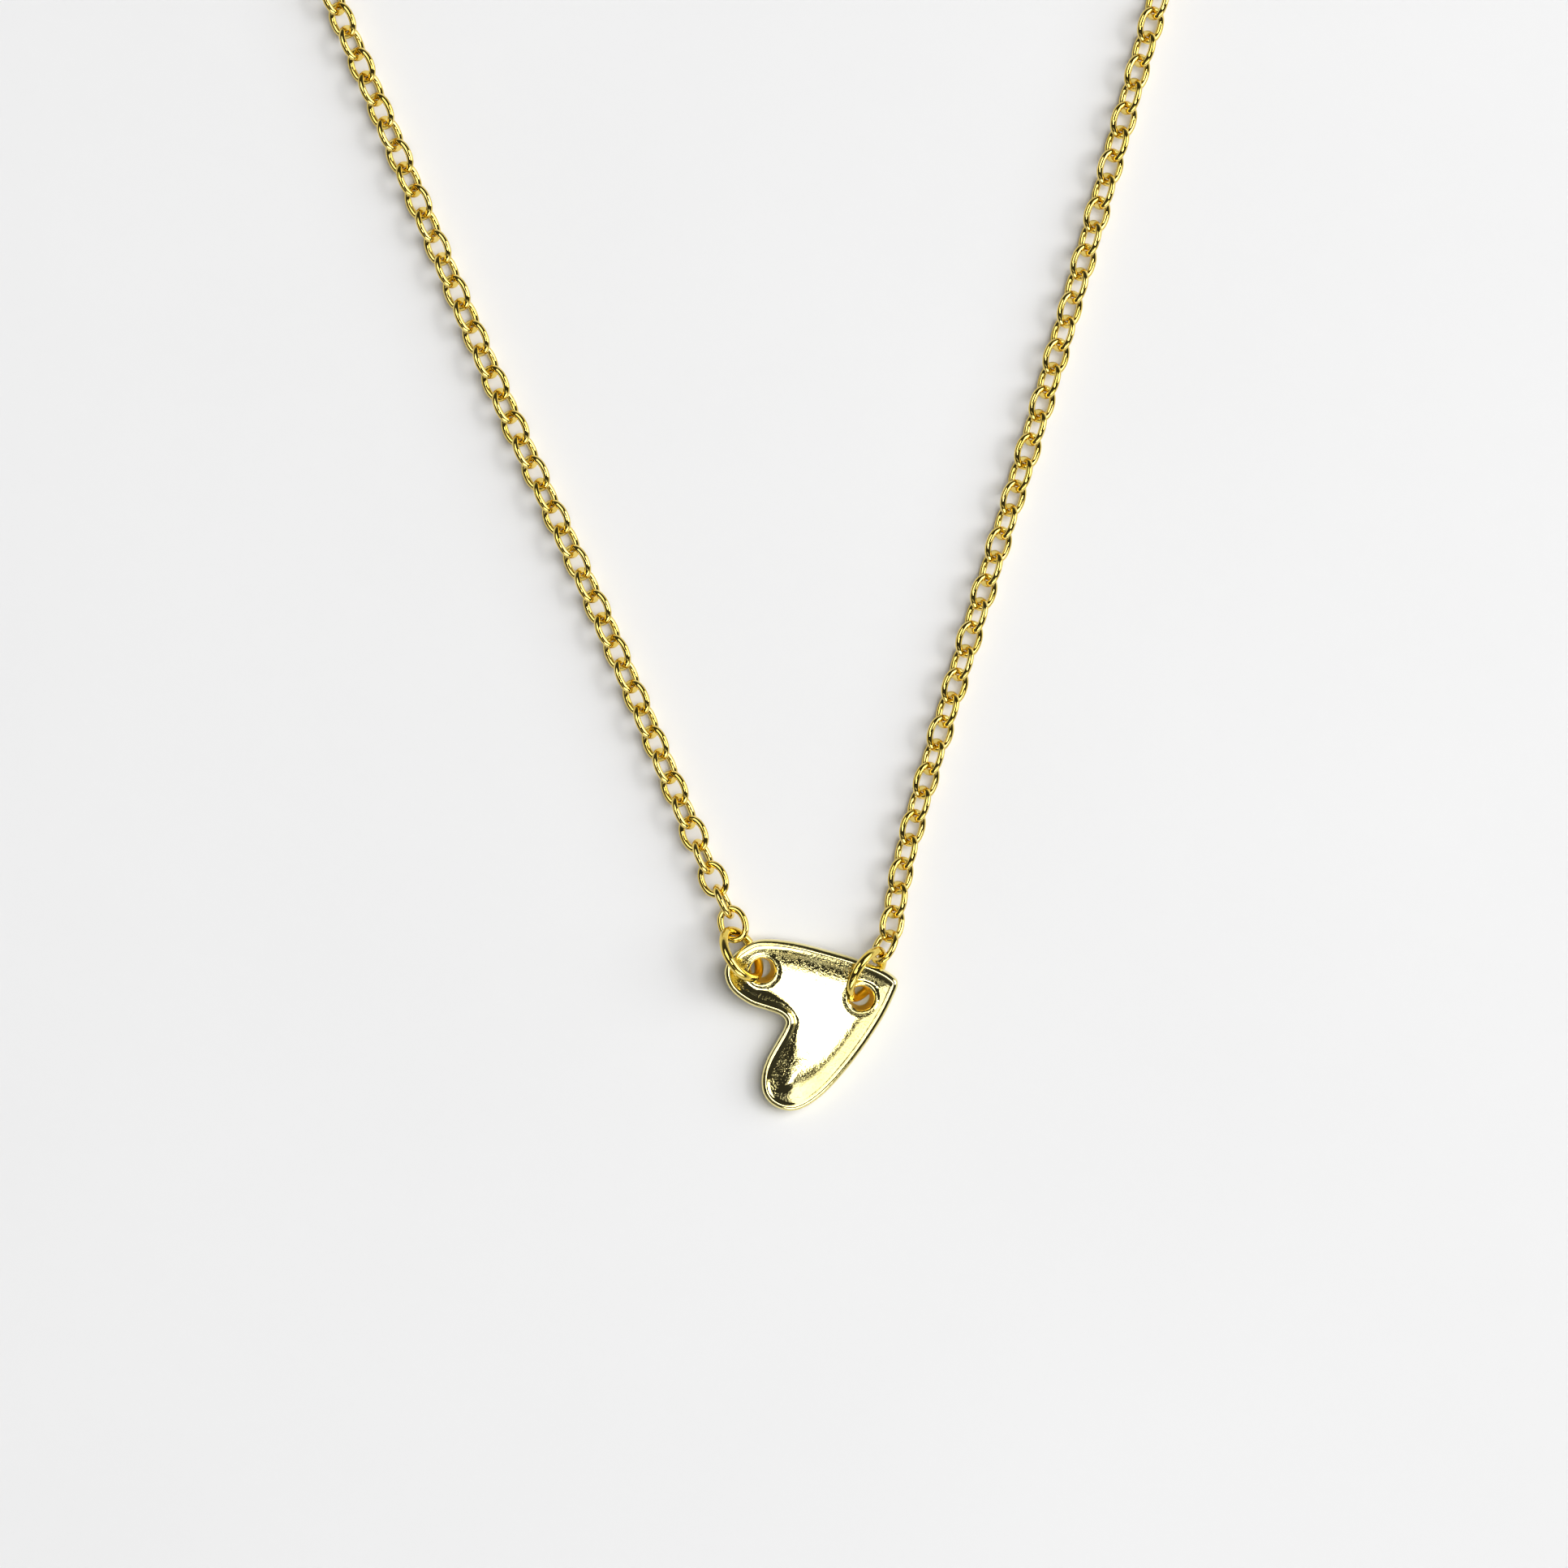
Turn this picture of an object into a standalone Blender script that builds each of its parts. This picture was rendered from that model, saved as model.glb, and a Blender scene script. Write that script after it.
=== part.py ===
"""Pendant necklace: a sideways heart between two strands of cable chain, laid flat and unclasped.

The left strand ends in a lobster clasp, the right strand in an extender with a drop.
Metres, +Z up. The origin is the centre of the heart's flat back. The necklace lies on the
plane z = TABLE_Z. The heart rests on the two rings that pass under it and on its lower lobe.
"""

import math

import bmesh
import bpy
from mathutils import Matrix, Vector

MM = 0.001

# ---- driving dimensions, in millimetres ----
TABLE_Z = -0.43  # the surface that the necklace lies on
HEART_RISE_X, HEART_RISE_Y = 0.0197, 0.0775  # slope of the heart's back above the table
HEART_FLOOR_T = 0.75  # thickness of the dished face
HEART_RIM_T = 0.98  # thickness over the raised rim
HEART_RIM_W = 0.42  # width of the raised rim
HEART_EDGE = 0.14  # rounding of the outer edge
HOLE_R = 0.73
LEFT_HOLE = (-2.85, 3.21)
RIGHT_HOLE = (2.945, 1.59)

RING_MID_R, RING_WIRE_R = 1.55, 0.27  # jump rings on the heart
SMALL_RING_MID_R = 1.25  # jump rings at the two free ends

LINK_L, LINK_W, LINK_WIRE = 2.27, 1.81, 0.40  # cable chain link, outside
LINK_STEP = 1.44  # one link of the chain
CONTACT_GAP = LINK_L - 2 * LINK_WIRE - LINK_STEP
CHAIN_Z = 0.76  # height of the chain's middle above the table
RING_DROP = {"left": 0.10, "right": 0.34}  # how far the first link comes down from its jump ring
NEAR_Z = {"left": 0.86, "right": 0.76}  # height of the chain's middle a few links on
LINKS_SINGLE = 8  # links next to each jump ring that are pieces of their own
RUNS = 8  # runs of chain on each side
LINKS_PER_RUN = 14
RUN_R = 0.76  # outer radius of a run of chain

EXT_L, EXT_W, EXT_WIRE = 4.0, 3.0, 0.50  # extender link, outside
EXT_LINKS = 9
END_Z = {"left": 1.21, "right": 1.18}  # height of the rings at the free ends
DROP_R = 1.1

CLASP_Z = 1.15  # middle of the clasp above the table

# Roll of the chain's odd links, in degrees: at the jump ring, and where the chain
# has settled on the table. The even ones are square to them.
FIRST_ROLL = {"left": -7.0, "right": -50.0}
FLAT_ROLL = {"left": -38.0, "right": -52.0}

# The heart's outline, anticlockwise from the notch side of the upper lobe.
HEART_POINTS = [
    (-5.07, 3.25), (-4.94, 2.45), (-4.45, 1.80), (-3.55, 1.20), (-2.55, 0.86),
    (-1.86, 0.60), (-1.52, 0.22), (-1.66, -0.30), (-2.10, -1.08), (-2.60, -2.00),
    (-2.90, -2.95), (-2.86, -3.90), (-2.42, -4.58), (-1.68, -4.97), (-0.88, -5.00),
    (0.02, -4.58), (1.05, -3.72), (2.20, -2.42), (3.30, -0.94), (4.22, 0.52),
    (4.86, 1.82), (5.05, 2.44), (4.84, 2.84), (4.05, 3.34), (2.60, 3.90),
    (0.95, 4.38), (-0.60, 4.78), (-2.10, 5.00), (-3.20, 4.96), (-4.05, 4.56),
    (-4.70, 3.96),
]

# The middle line of each strand where it leaves its jump ring, and on up.
LEFT_LINE = [(-5.52, 7.95), (-6.75, 10.76), (-12.20, 23.60), (-18.03, 36.40), (-27.65, 59.20)]
RIGHT_LINE = [(5.02, 7.80), (5.70, 10.76), (9.55, 23.60), (13.52, 36.40), (20.05, 59.20)]
LEFT_TURN = (22.9, 4.0)  # heading of the rest of the strand, degrees from +Y to -X
RIGHT_TURN = (-16.0, -2.0)
LEFT_END_TURN = -14.0  # further turn along the clasp
RIGHT_END_TURN = 24.0  # further turn along the extender


def remove_all():
    for obj in list(bpy.data.objects):
        bpy.data.objects.remove(obj, do_unlink=True)


def collection(name):
    found = bpy.data.collections.new(name)
    bpy.context.scene.collection.children.link(found)
    return found


remove_all()
PARTS = collection("pendant_necklace")
CUTTERS = collection("cutters")


# ---- helpers ----
def at(x, y, z):
    """A point given in millimetres, with z above the table."""
    return Vector((x, y, z + TABLE_Z)) * MM


def gold(name, colour=(0.86, 0.62, 0.16, 1.0), roughness=0.12):
    mat = bpy.data.materials.new(name + "_gold")
    mat.use_nodes = True
    shader = mat.node_tree.nodes["Principled BSDF"]
    shader.inputs["Base Color"].default_value = colour
    shader.inputs["Metallic"].default_value = 1.0
    shader.inputs["Roughness"].default_value = roughness
    return mat


def place(obj, name, colour=(0.86, 0.62, 0.16, 1.0), roughness=0.12, into=None):
    for held in list(obj.users_collection):
        held.objects.unlink(obj)
    (into or PARTS).objects.link(obj)
    obj.name = name
    obj.data.name = name
    if into is None:
        obj.data.materials.clear()
        obj.data.materials.append(gold(name, colour, roughness))
    return obj


def cutter(obj, name):
    place(obj, name, into=CUTTERS)
    obj.hide_render = True
    obj.display_type = "WIRE"
    return obj


def wire_curve(name, points, radius, cyclic=False, sides=6, radii=None):
    """A round wire along the points, in metres, with filled caps."""
    data = bpy.data.curves.new(name, "CURVE")
    data.dimensions = "3D"
    data.bevel_depth = radius
    data.bevel_resolution = {4: 0, 6: 1, 8: 2, 10: 3, 12: 4}[sides]
    data.use_fill_caps = not cyclic
    data.twist_mode = "MINIMUM"
    spline = data.splines.new("POLY")
    spline.points.add(len(points) - 1)
    for i, p in enumerate(points):
        spline.points[i].co = (p[0], p[1], p[2], 1.0)
        spline.points[i].radius = radii[i] if radii else 1.0
    spline.use_cyclic_u = cyclic
    spline.use_smooth = True
    obj = bpy.data.objects.new(name, data)
    bpy.context.scene.collection.objects.link(obj)
    return obj


def flat_outline(name, points, thickness):
    """A flat plate of the outline, in metres, centred on z = 0."""
    data = bpy.data.curves.new(name, "CURVE")
    data.dimensions = "2D"
    data.fill_mode = "BOTH"
    data.extrude = thickness / 2
    spline = data.splines.new("POLY")
    spline.points.add(len(points) - 1)
    for i, p in enumerate(points):
        spline.points[i].co = (p[0], p[1], 0.0, 1.0)
    spline.use_cyclic_u = True
    obj = bpy.data.objects.new(name, data)
    bpy.context.scene.collection.objects.link(obj)
    return obj


def as_mesh(obj):
    """Turns a curve object into a mesh object with welded caps."""
    bpy.context.view_layer.update()
    graph = bpy.context.evaluated_depsgraph_get()
    mesh = bpy.data.meshes.new_from_object(obj.evaluated_get(graph))
    bm = bmesh.new()
    bm.from_mesh(mesh)
    bmesh.ops.remove_doubles(bm, verts=bm.verts, dist=0.000002)
    bmesh.ops.recalc_face_normals(bm, faces=bm.faces)
    bm.to_mesh(mesh)
    bm.free()
    made = bpy.data.objects.new(obj.name + "_mesh", mesh)
    made.matrix_world = obj.matrix_world.copy()
    bpy.context.scene.collection.objects.link(made)
    data = obj.data
    bpy.data.objects.remove(obj, do_unlink=True)
    bpy.data.curves.remove(data)
    return made


def boolean(obj, other, operation):
    mod = obj.modifiers.new(operation.lower(), "BOOLEAN")
    mod.operation = operation
    mod.solver = "EXACT"
    mod.object = other


def shade(obj, degrees=35.0):
    obj.data.shade_smooth()
    obj.data.set_sharp_from_angle(angle=math.radians(degrees))


def bake(obj):
    """Applies the object's modifiers."""
    bpy.context.view_layer.update()
    graph = bpy.context.evaluated_depsgraph_get()
    mesh = bpy.data.meshes.new_from_object(obj.evaluated_get(graph))
    obj.modifiers.clear()
    old = obj.data
    obj.data = mesh
    bpy.data.meshes.remove(old)


def move_origin(obj, point):
    """Puts the object's origin on its joint's axis, leaving its shape where it is."""
    bpy.context.view_layer.update()
    obj.data.transform(Matrix.Translation(-point) @ obj.matrix_world)
    obj.matrix_world = Matrix.Translation(point)


def oval(length, width, wire, count, start=0.0):
    """The middle line of an oval wire link lying along +X, whose near inner end is at x = start."""
    a, b = (length - wire) / 2, (width - wire) / 2
    middle = start + (length - 2 * wire) / 2
    points = []
    for i in range(count):
        t = 2 * math.pi * (i + 0.5) / count
        # a rounder shoulder than an ellipse
        c, s = math.cos(t), math.sin(t)
        x = a * math.copysign(abs(c) ** 0.92, c)
        y = b * math.copysign(abs(s) ** 0.92, s)
        points.append(((middle + x) * MM, y * MM, 0.0))
    return points


def closed_smooth(points, per_span):
    """Points along a closed Catmull-Rom curve through the given ones."""
    made, n = [], len(points)
    for i in range(n):
        p0, p1, p2, p3 = (Vector(points[(i + k - 1) % n]) for k in range(4))
        for j in range(per_span):
            t = j / per_span
            made.append(
                0.5
                * (
                    2 * p1
                    + (p2 - p0) * t
                    + (2 * p0 - 5 * p1 + 4 * p2 - p3) * t * t
                    + (3 * p1 - p0 - 3 * p2 + p3) * t**3
                )
            )
    return made


def open_smooth(points, step):
    """Points about a step apart along a Catmull-Rom curve through the given ones."""
    pts = [Vector(p) for p in points]
    pts = [2 * pts[0] - pts[1]] + pts + [2 * pts[-1] - pts[-2]]
    made = []
    for i in range(1, len(pts) - 2):
        p0, p1, p2, p3 = pts[i - 1 : i + 3]
        # centripetal spacing keeps short spans beside long ones from overshooting
        t0 = 0.0
        t1 = t0 + math.sqrt((p1 - p0).length)
        t2 = t1 + math.sqrt((p2 - p1).length)
        t3 = t2 + math.sqrt((p3 - p2).length)
        count = max(1, int((p2 - p1).length / step))
        for j in range(count):
            t = t1 + (t2 - t1) * j / count
            a1 = p0 * ((t1 - t) / (t1 - t0)) + p1 * ((t - t0) / (t1 - t0))
            a2 = p1 * ((t2 - t) / (t2 - t1)) + p2 * ((t - t1) / (t2 - t1))
            a3 = p2 * ((t3 - t) / (t3 - t2)) + p3 * ((t - t2) / (t3 - t2))
            b1 = a1 * ((t2 - t) / (t2 - t0)) + a2 * ((t - t0) / (t2 - t0))
            b2 = a2 * ((t3 - t) / (t3 - t1)) + a3 * ((t - t1) / (t3 - t1))
            made.append(b1 * ((t2 - t) / (t2 - t1)) + b2 * ((t - t1) / (t2 - t1)))
    made.append(pts[-2])
    return made


def inset(outline, width):
    """The outline moved inwards, without the points that a tight corner folds over."""
    n, made = len(outline), []
    for i, p in enumerate(outline):
        along = (outline[(i + 1) % n] - outline[i - 1]).normalized()
        q = p + Vector((-along.y, along.x)) * width
        if min((q - o).length for o in outline) > width * 0.985:
            made.append(q)
    return made


# ---- heart pendant ----
def ring_frame(centre, turn, tilt):
    """A jump ring's own axes: across the table, up the ring, and its normal."""
    a, b = math.radians(turn), math.radians(tilt)
    across = Vector((math.cos(a), math.sin(a), 0))
    up = Vector((math.sin(a) * math.cos(b), -math.cos(a) * math.cos(b), math.sin(b)))
    middle = Vector((centre[0], centre[1], RING_MID_R * math.sin(b) + RING_WIRE_R + 0.005))
    return middle, across, up


def heart_matrix():
    turn = Matrix.Rotation(-math.atan(HEART_RISE_X), 4, "Y") @ Matrix.Rotation(
        math.atan(HEART_RISE_Y), 4, "X"
    )
    return turn


def make_heart():
    outline = closed_smooth(HEART_POINTS, 2)
    plate = as_mesh(flat_outline("heart_plate", [p * MM for p in outline], HEART_RIM_T * MM))
    plate.data.transform(Matrix.Translation((0, 0, HEART_RIM_T / 2 * MM)))
    edge = plate.modifiers.new("rounded_edge", "BEVEL")
    edge.width = HEART_EDGE * MM
    edge.segments = 2
    edge.limit_method = "ANGLE"
    edge.angle_limit = math.radians(50)
    bake(plate)

    depth = 1.0
    dish = cutter(
        as_mesh(flat_outline("dish", [p * MM for p in inset(outline, HEART_RIM_W)], depth * MM)),
        "dish_cutter",
    )
    dish.data.transform(Matrix.Translation((0, 0, (HEART_FLOOR_T + depth / 2) * MM)))
    boolean(plate, dish, "DIFFERENCE")
    for side, hole in (("left", LEFT_HOLE), ("right", RIGHT_HOLE)):
        bpy.ops.mesh.primitive_cylinder_add(
            vertices=24,
            radius=HOLE_R * MM / math.cos(math.pi / 24),
            depth=4 * MM,
            location=(hole[0] * MM, hole[1] * MM, 0),
        )
        boolean(plate, cutter(bpy.context.object, side + "_hole_cutter"), "DIFFERENCE")
    bake(plate)
    plate.matrix_world = heart_matrix()
    place(plate, "heart_pendant", (0.93, 0.80, 0.42, 1.0), 0.06)
    shade(plate, 30)


def make_ring(name, middle, across, up, mid_r, pivot):
    bpy.ops.mesh.primitive_torus_add(
        major_segments=18,
        minor_segments=8,
        major_radius=mid_r * MM,
        minor_radius=RING_WIRE_R * MM,
    )
    obj = bpy.context.object
    normal = across.cross(up)
    frame = Matrix((across, up, normal)).transposed().to_4x4()
    obj.matrix_world = Matrix.Translation(at(*middle)) @ frame
    place(obj, name)
    move_origin(obj, at(*pivot))
    shade(obj, 60)


# ---- strands ----
def walk(path, start, step):
    """The first point of the path past index start that is a step away, and its index."""
    i, here = start
    for k in range(i, len(path) - 1):
        a, b = path[k], path[k + 1]
        if (b - here).length >= step:
            lo, hi = 0.0, 1.0
            for _ in range(30):
                mid = (lo + hi) / 2
                if (a.lerp(b, mid) - here).length < step:
                    lo = mid
                else:
                    hi = mid
            return k, a.lerp(b, hi)
    raise ValueError("the path is too short")


def heading_vector(degrees):
    return Vector((-math.sin(math.radians(degrees)), math.cos(math.radians(degrees))))


def strand_path(first, second, line, turn, length, end_turn, end_length):
    """The middle line of a strand: through the given points, then on one smooth bend."""
    flat = [(p[0], p[1]) for p in (first, second)] + list(line)
    path = [Vector((p.x, p.y)) for p in open_smooth([Vector((x, y, 0)) for x, y in flat], 0.25)]
    step, done = 0.5, 0.0
    while done < length + end_length:
        if done < length:
            heading = turn[0] + (turn[1] - turn[0]) * done / length
        else:
            heading = turn[1] + end_turn * (done - length) / end_length
        path.append(path[-1] + heading_vector(heading) * step)
        done += step
    return path


def lift(path2, heights):
    """Gives each point of a flat path a height that runs smoothly through (distance, height) pairs."""
    made, along = [], 0.0
    for i, p in enumerate(path2):
        if i:
            along += (p - path2[i - 1]).length
        z = heights[-1][1]
        for (s0, z0), (s1, z1) in zip(heights, heights[1:]):
            if along <= s1:
                t = max(0.0, (along - s0) / (s1 - s0))
                t = t * t * (3 - 2 * t)
                z = z0 + (z1 - z0) * t
                break
        made.append(Vector((p.x, p.y, z)))
    return made


def frame_along(start, end, roll):
    """Local +X from start to end, and local +Y turned by roll about it, from level."""
    x = (end - start).normalized()
    level = Vector((0, 0, 1)).cross(x).normalized()
    y = Matrix.Rotation(math.radians(roll), 3, x) @ level
    z = x.cross(y)
    return Matrix((x, y, z)).transposed().to_4x4()


def chain_roll(number, side):
    """Roll of the chain's link of this number from the heart: each is square to the next.

    Positive raises the link's left side, seen looking away from the heart.
    """
    settle = min(1.0, (number - 1) / 6.0)
    first, flat = FIRST_ROLL[side], FLAT_ROLL[side]
    base = first + (flat - first) * settle
    return base if number % 2 else base + 90.0


def make_link(name, start, end, roll, size, sides=8, count=16):
    length, width, wire = size
    gap = (length - 2 * wire) - (end - start).length
    obj = wire_curve(name, oval(length, width, wire, count, -gap / 2), wire / 2 * MM, True, sides)
    obj.matrix_world = Matrix.Translation(at(*start)) @ frame_along(start, end, roll)
    place(obj, name)
    return obj


def make_run(name, path, first, last, clear_start, clear_end):
    """A run of chain as one round body with tapered ends, following the path between two contacts."""
    points = [first[1]] + path[first[0] + 1 : last[0] + 1] + [last[1]]
    lengths = [0.0]
    for a, b in zip(points, points[1:]):
        lengths.append(lengths[-1] + (b - a).length)
    total = lengths[-1]

    def along(s):
        for k in range(len(points) - 1):
            if s <= lengths[k + 1]:
                span = lengths[k + 1] - lengths[k]
                return points[k].lerp(points[k + 1], (s - lengths[k]) / span if span else 0)
        return points[-1]

    taper = ((0.0, 0.36), (0.13, 0.70), (0.32, 0.92), (0.58, 1.0))
    begin, finish = clear_start, total - clear_end
    spots = [(begin + s, r) for s, r in taper]
    middle = max(2, round((finish - begin - 1.2) / 3.4))
    for k in range(1, middle):
        spots.append((begin + 0.58 + (finish - begin - 1.16) * k / middle, 1.0))
    spots += [(finish - s, r) for s, r in reversed(taper)]
    origin = first[1]
    local = [(along(s) - origin) * MM for s, _ in spots]
    obj = wire_curve(name, local, RUN_R * MM, False, 8, [r for _, r in spots])
    obj.location = at(*origin)
    place(obj, name, roughness=0.2)


def contact_on_ring(middle, across, up, degrees, inner_r):
    """Where a link touches the inside of a jump ring, and the way out from the ring's centre."""
    t = math.radians(degrees)
    out = across * math.cos(t) + up * math.sin(t)
    return middle + out * (inner_r - CONTACT_GAP / 2), out


def make_strand(side, ring, contact_degrees, line, turn, end_turn, end_length):
    middle, across, up = ring
    first, out = contact_on_ring(middle, across, up, contact_degrees, RING_MID_R - RING_WIRE_R)
    towards = Vector((line[0][0], line[0][1], 0)) - Vector((first.x, first.y, 0))
    level_out = Vector((out.x, out.y, 0)).normalized()
    second = first + (0.45 * level_out + 0.55 * towards.normalized()).normalized() * LINK_STEP
    links = LINKS_SINGLE + RUNS * LINKS_PER_RUN + 1
    rest = links * LINK_STEP - 58.0
    flat = strand_path(first, second, line, turn, rest, end_turn, end_length)
    path = lift(
        flat,
        [
            (0.0, first.z),
            (LINK_STEP, first.z - RING_DROP[side]),
            (3.2 * LINK_STEP, NEAR_Z[side]),
            (7.0 * LINK_STEP, CHAIN_Z),
            (links * LINK_STEP - 3.2, CHAIN_Z),
            (links * LINK_STEP, END_Z[side]),
            (999.0, END_Z[side]),
        ],
    )
    spot = (0, path[0])
    contacts = [spot]
    for _ in range(links):
        spot = walk(path, spot, LINK_STEP)
        contacts.append(spot)
    for i in range(LINKS_SINGLE):
        make_link(
            f"{side}_link_{i + 1:02d}",
            contacts[i][1],
            contacts[i + 1][1],
            chain_roll(i + 1, side),
            (LINK_L, LINK_W, LINK_WIRE),
        )
    for k in range(RUNS):
        a = LINKS_SINGLE + k * LINKS_PER_RUN
        b = a + LINKS_PER_RUN
        make_run(
            f"{side}_chain_run_{k + 1}",
            path,
            contacts[a],
            contacts[b],
            0.55 if k == 0 else 0.16,
            0.55 if k == RUNS - 1 else 0.16,
        )
    last = links - 1
    make_link(
        f"{side}_end_link",
        contacts[last][1],
        contacts[last + 1][1],
        -45.0,
        (LINK_L, LINK_W, LINK_WIRE),
    )
    return path, contacts[-1]


# ---- free ends ----
def end_ring(name, path, spot, roll):
    """A jump ring that follows the path, from one contact to the next."""
    inner = 2 * (SMALL_RING_MID_R - RING_WIRE_R)
    nxt = walk(path, spot, inner - CONTACT_GAP)
    start, end = spot[1], nxt[1]
    x = (end - start).normalized()
    level = Vector((0, 0, 1)).cross(x).normalized()
    y = Matrix.Rotation(math.radians(roll), 3, x) @ level
    make_ring(name, (start + end) / 2, x, y, SMALL_RING_MID_R, start)
    return nxt


def make_extender(path, spot):
    for i in range(EXT_LINKS):
        nxt = walk(path, spot, EXT_L - 2 * EXT_WIRE - CONTACT_GAP)
        make_link(
            f"extender_link_{i + 1:02d}",
            spot[1],
            nxt[1],
            45.0 if i % 2 else -45.0,
            (EXT_L, EXT_W, EXT_WIRE),
            count=18,
        )
        spot = nxt
    # the drop: a ball with its own eye, which the last link passes through
    nxt = walk(path, spot, 1.0)
    frame = Matrix.Translation(at(*spot[1])) @ frame_along(spot[1], nxt[1], 45.0)
    eye_mid = 0.85
    bpy.ops.mesh.primitive_torus_add(
        major_segments=16, minor_segments=8, major_radius=eye_mid * MM, minor_radius=0.25 * MM,
        location=((eye_mid - 0.25 - CONTACT_GAP / 2) * MM, 0, 0),
    )
    eye = bpy.context.object
    bpy.ops.mesh.primitive_uv_sphere_add(
        segments=16, ring_count=10, radius=DROP_R * MM,
        location=((2 * eye_mid - 0.25 + DROP_R - 0.12) * MM, 0, 0),
    )
    ball = bpy.context.object
    bpy.context.view_layer.update()
    eye.data.transform(frame @ eye.matrix_world)
    eye.matrix_world = Matrix.Identity(4)
    ball.data.transform(frame @ ball.matrix_world)
    ball.matrix_world = Matrix.Identity(4)
    boolean(ball, eye, "UNION")
    bake(ball)
    bpy.data.objects.remove(eye, do_unlink=True)
    place(ball, "extender_drop")
    move_origin(ball, at(*spot[1]))
    shade(ball, 40)


def local_wire(points, radius, sides, radii=None):
    """A mesh of a wire in the clasp's own plane, given in millimetres."""
    obj = wire_curve("wire", [(x * MM, y * MM, 0) for x, y in points], radius * MM, False, sides, radii)
    return as_mesh(obj)


def make_clasp(path, spot):
    """A lobster clasp lying flat: local +X runs from its eye to its nose."""
    nxt = walk(path, spot, 9.0)
    start = Vector((spot[1].x, spot[1].y, CLASP_Z))
    end = Vector((nxt[1].x, nxt[1].y, CLASP_Z))
    frame = Matrix.Translation(at(*start)) @ frame_along(start, end, 0.0)
    eye_mid, eye_wire = 0.95, 0.30
    eye_x = eye_mid - eye_wire - CONTACT_GAP / 2

    # body: eye, boss and claw, joined
    boss_x, boss_y, boss_r, boss_h = eye_x + 2.25, 0.0, 1.20, 2.1
    bpy.ops.mesh.primitive_torus_add(
        major_segments=20, minor_segments=8, major_radius=eye_mid * MM, minor_radius=eye_wire * MM,
        location=(eye_x * MM, 0, 0),
    )
    eye = bpy.context.object
    bpy.ops.mesh.primitive_cylinder_add(
        vertices=28, radius=boss_r * MM, depth=boss_h * MM, location=(boss_x * MM, boss_y * MM, 0)
    )
    body = bpy.context.object
    rounding = body.modifiers.new("rounded_edge", "BEVEL")
    rounding.width = 0.35 * MM
    rounding.segments = 2
    rounding.limit_method = "ANGLE"
    rounding.angle_limit = math.radians(50)
    bake(body)
    claw_points = open_smooth(
        [
            Vector((boss_x + 0.45, -0.65, 0)), Vector((boss_x + 1.6, -1.45, 0)),
            Vector((boss_x + 3.3, -1.95, 0)), Vector((boss_x + 5.0, -1.45, 0)),
            Vector((boss_x + 5.85, -0.1, 0)), Vector((boss_x + 5.45, 1.25, 0)),
            Vector((boss_x + 4.35, 1.72, 0)),
        ],
        0.60,
    )
    n = len(claw_points)
    radii = [1.0 - 0.30 * (i / (n - 1)) ** 2 for i in range(n)]
    claw = local_wire([(p.x, p.y) for p in claw_points], 0.72, 10, radii)
    for tool in (eye, claw):
        bpy.context.view_layer.update()
        boolean(body, tool, "UNION")
    # slot for the gate, and the pin's bore
    pivot_x, pivot_y = boss_x + 0.05, 0.35
    bpy.ops.mesh.primitive_cube_add(
        size=1, location=((boss_x + 0.55) * MM, (boss_y + 0.95) * MM, 0)
    )
    slot = bpy.context.object
    slot.data.transform(Matrix.Diagonal((3.4 * MM, 2.6 * MM, 0.98 * MM, 1)))
    cutter(slot, "gate_slot_cutter")
    slot.matrix_world = frame @ Matrix.Translation(((boss_x + 0.55) * MM, (boss_y + 0.95) * MM, 0))
    bpy.ops.mesh.primitive_cylinder_add(vertices=16, radius=0.27 * MM, depth=4 * MM)
    bore = cutter(bpy.context.object, "pin_bore_cutter")
    bore.matrix_world = frame @ Matrix.Translation((pivot_x * MM, pivot_y * MM, 0))
    bake(body)
    bpy.data.objects.remove(eye, do_unlink=True)
    bpy.data.objects.remove(claw, do_unlink=True)
    bpy.context.view_layer.update()
    body.data.transform(frame @ body.matrix_world)
    body.matrix_world = Matrix.Identity(4)
    boolean(body, slot, "DIFFERENCE")
    boolean(body, bore, "DIFFERENCE")
    bake(body)
    place(body, "clasp_body")
    move_origin(body, at(*start))
    shade(body, 35)

    # gate: a flat lever on the pin, closing on the claw's tip, with a thumb tab outside
    arm = [
        (pivot_x - 0.52, pivot_y - 0.10), (pivot_x - 0.05, pivot_y - 0.52),
        (pivot_x + 0.60, pivot_y - 0.05), (pivot_x + 1.60, pivot_y + 0.62),
        (pivot_x + 2.70, pivot_y + 0.94), (pivot_x + 3.80, pivot_y + 0.98),
        (pivot_x + 3.74, pivot_y + 1.52), (pivot_x + 2.60, pivot_y + 1.62),
        (pivot_x + 1.40, pivot_y + 1.42), (pivot_x + 0.55, pivot_y + 1.55),
        (pivot_x - 0.10, pivot_y + 2.15), (pivot_x - 0.72, pivot_y + 1.98),
        (pivot_x - 0.62, pivot_y + 1.05),
    ]
    shape = [Vector((p.x, p.y, 0)) for p in closed_smooth([Vector((x, y)) for x, y in arm], 2)]
    gate = as_mesh(flat_outline("gate", [p * MM for p in shape], 0.86 * MM))
    edge = gate.modifiers.new("rounded_edge", "BEVEL")
    edge.width = 0.12 * MM
    edge.segments = 1
    edge.limit_method = "ANGLE"
    edge.angle_limit = math.radians(60)
    bake(gate)
    gate.data.transform(frame)
    boolean(gate, bore, "DIFFERENCE")
    bake(gate)
    place(gate, "clasp_gate")
    pivot = frame @ Vector((pivot_x * MM, pivot_y * MM, 0))
    move_origin(gate, pivot)
    shade(gate, 35)

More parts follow.
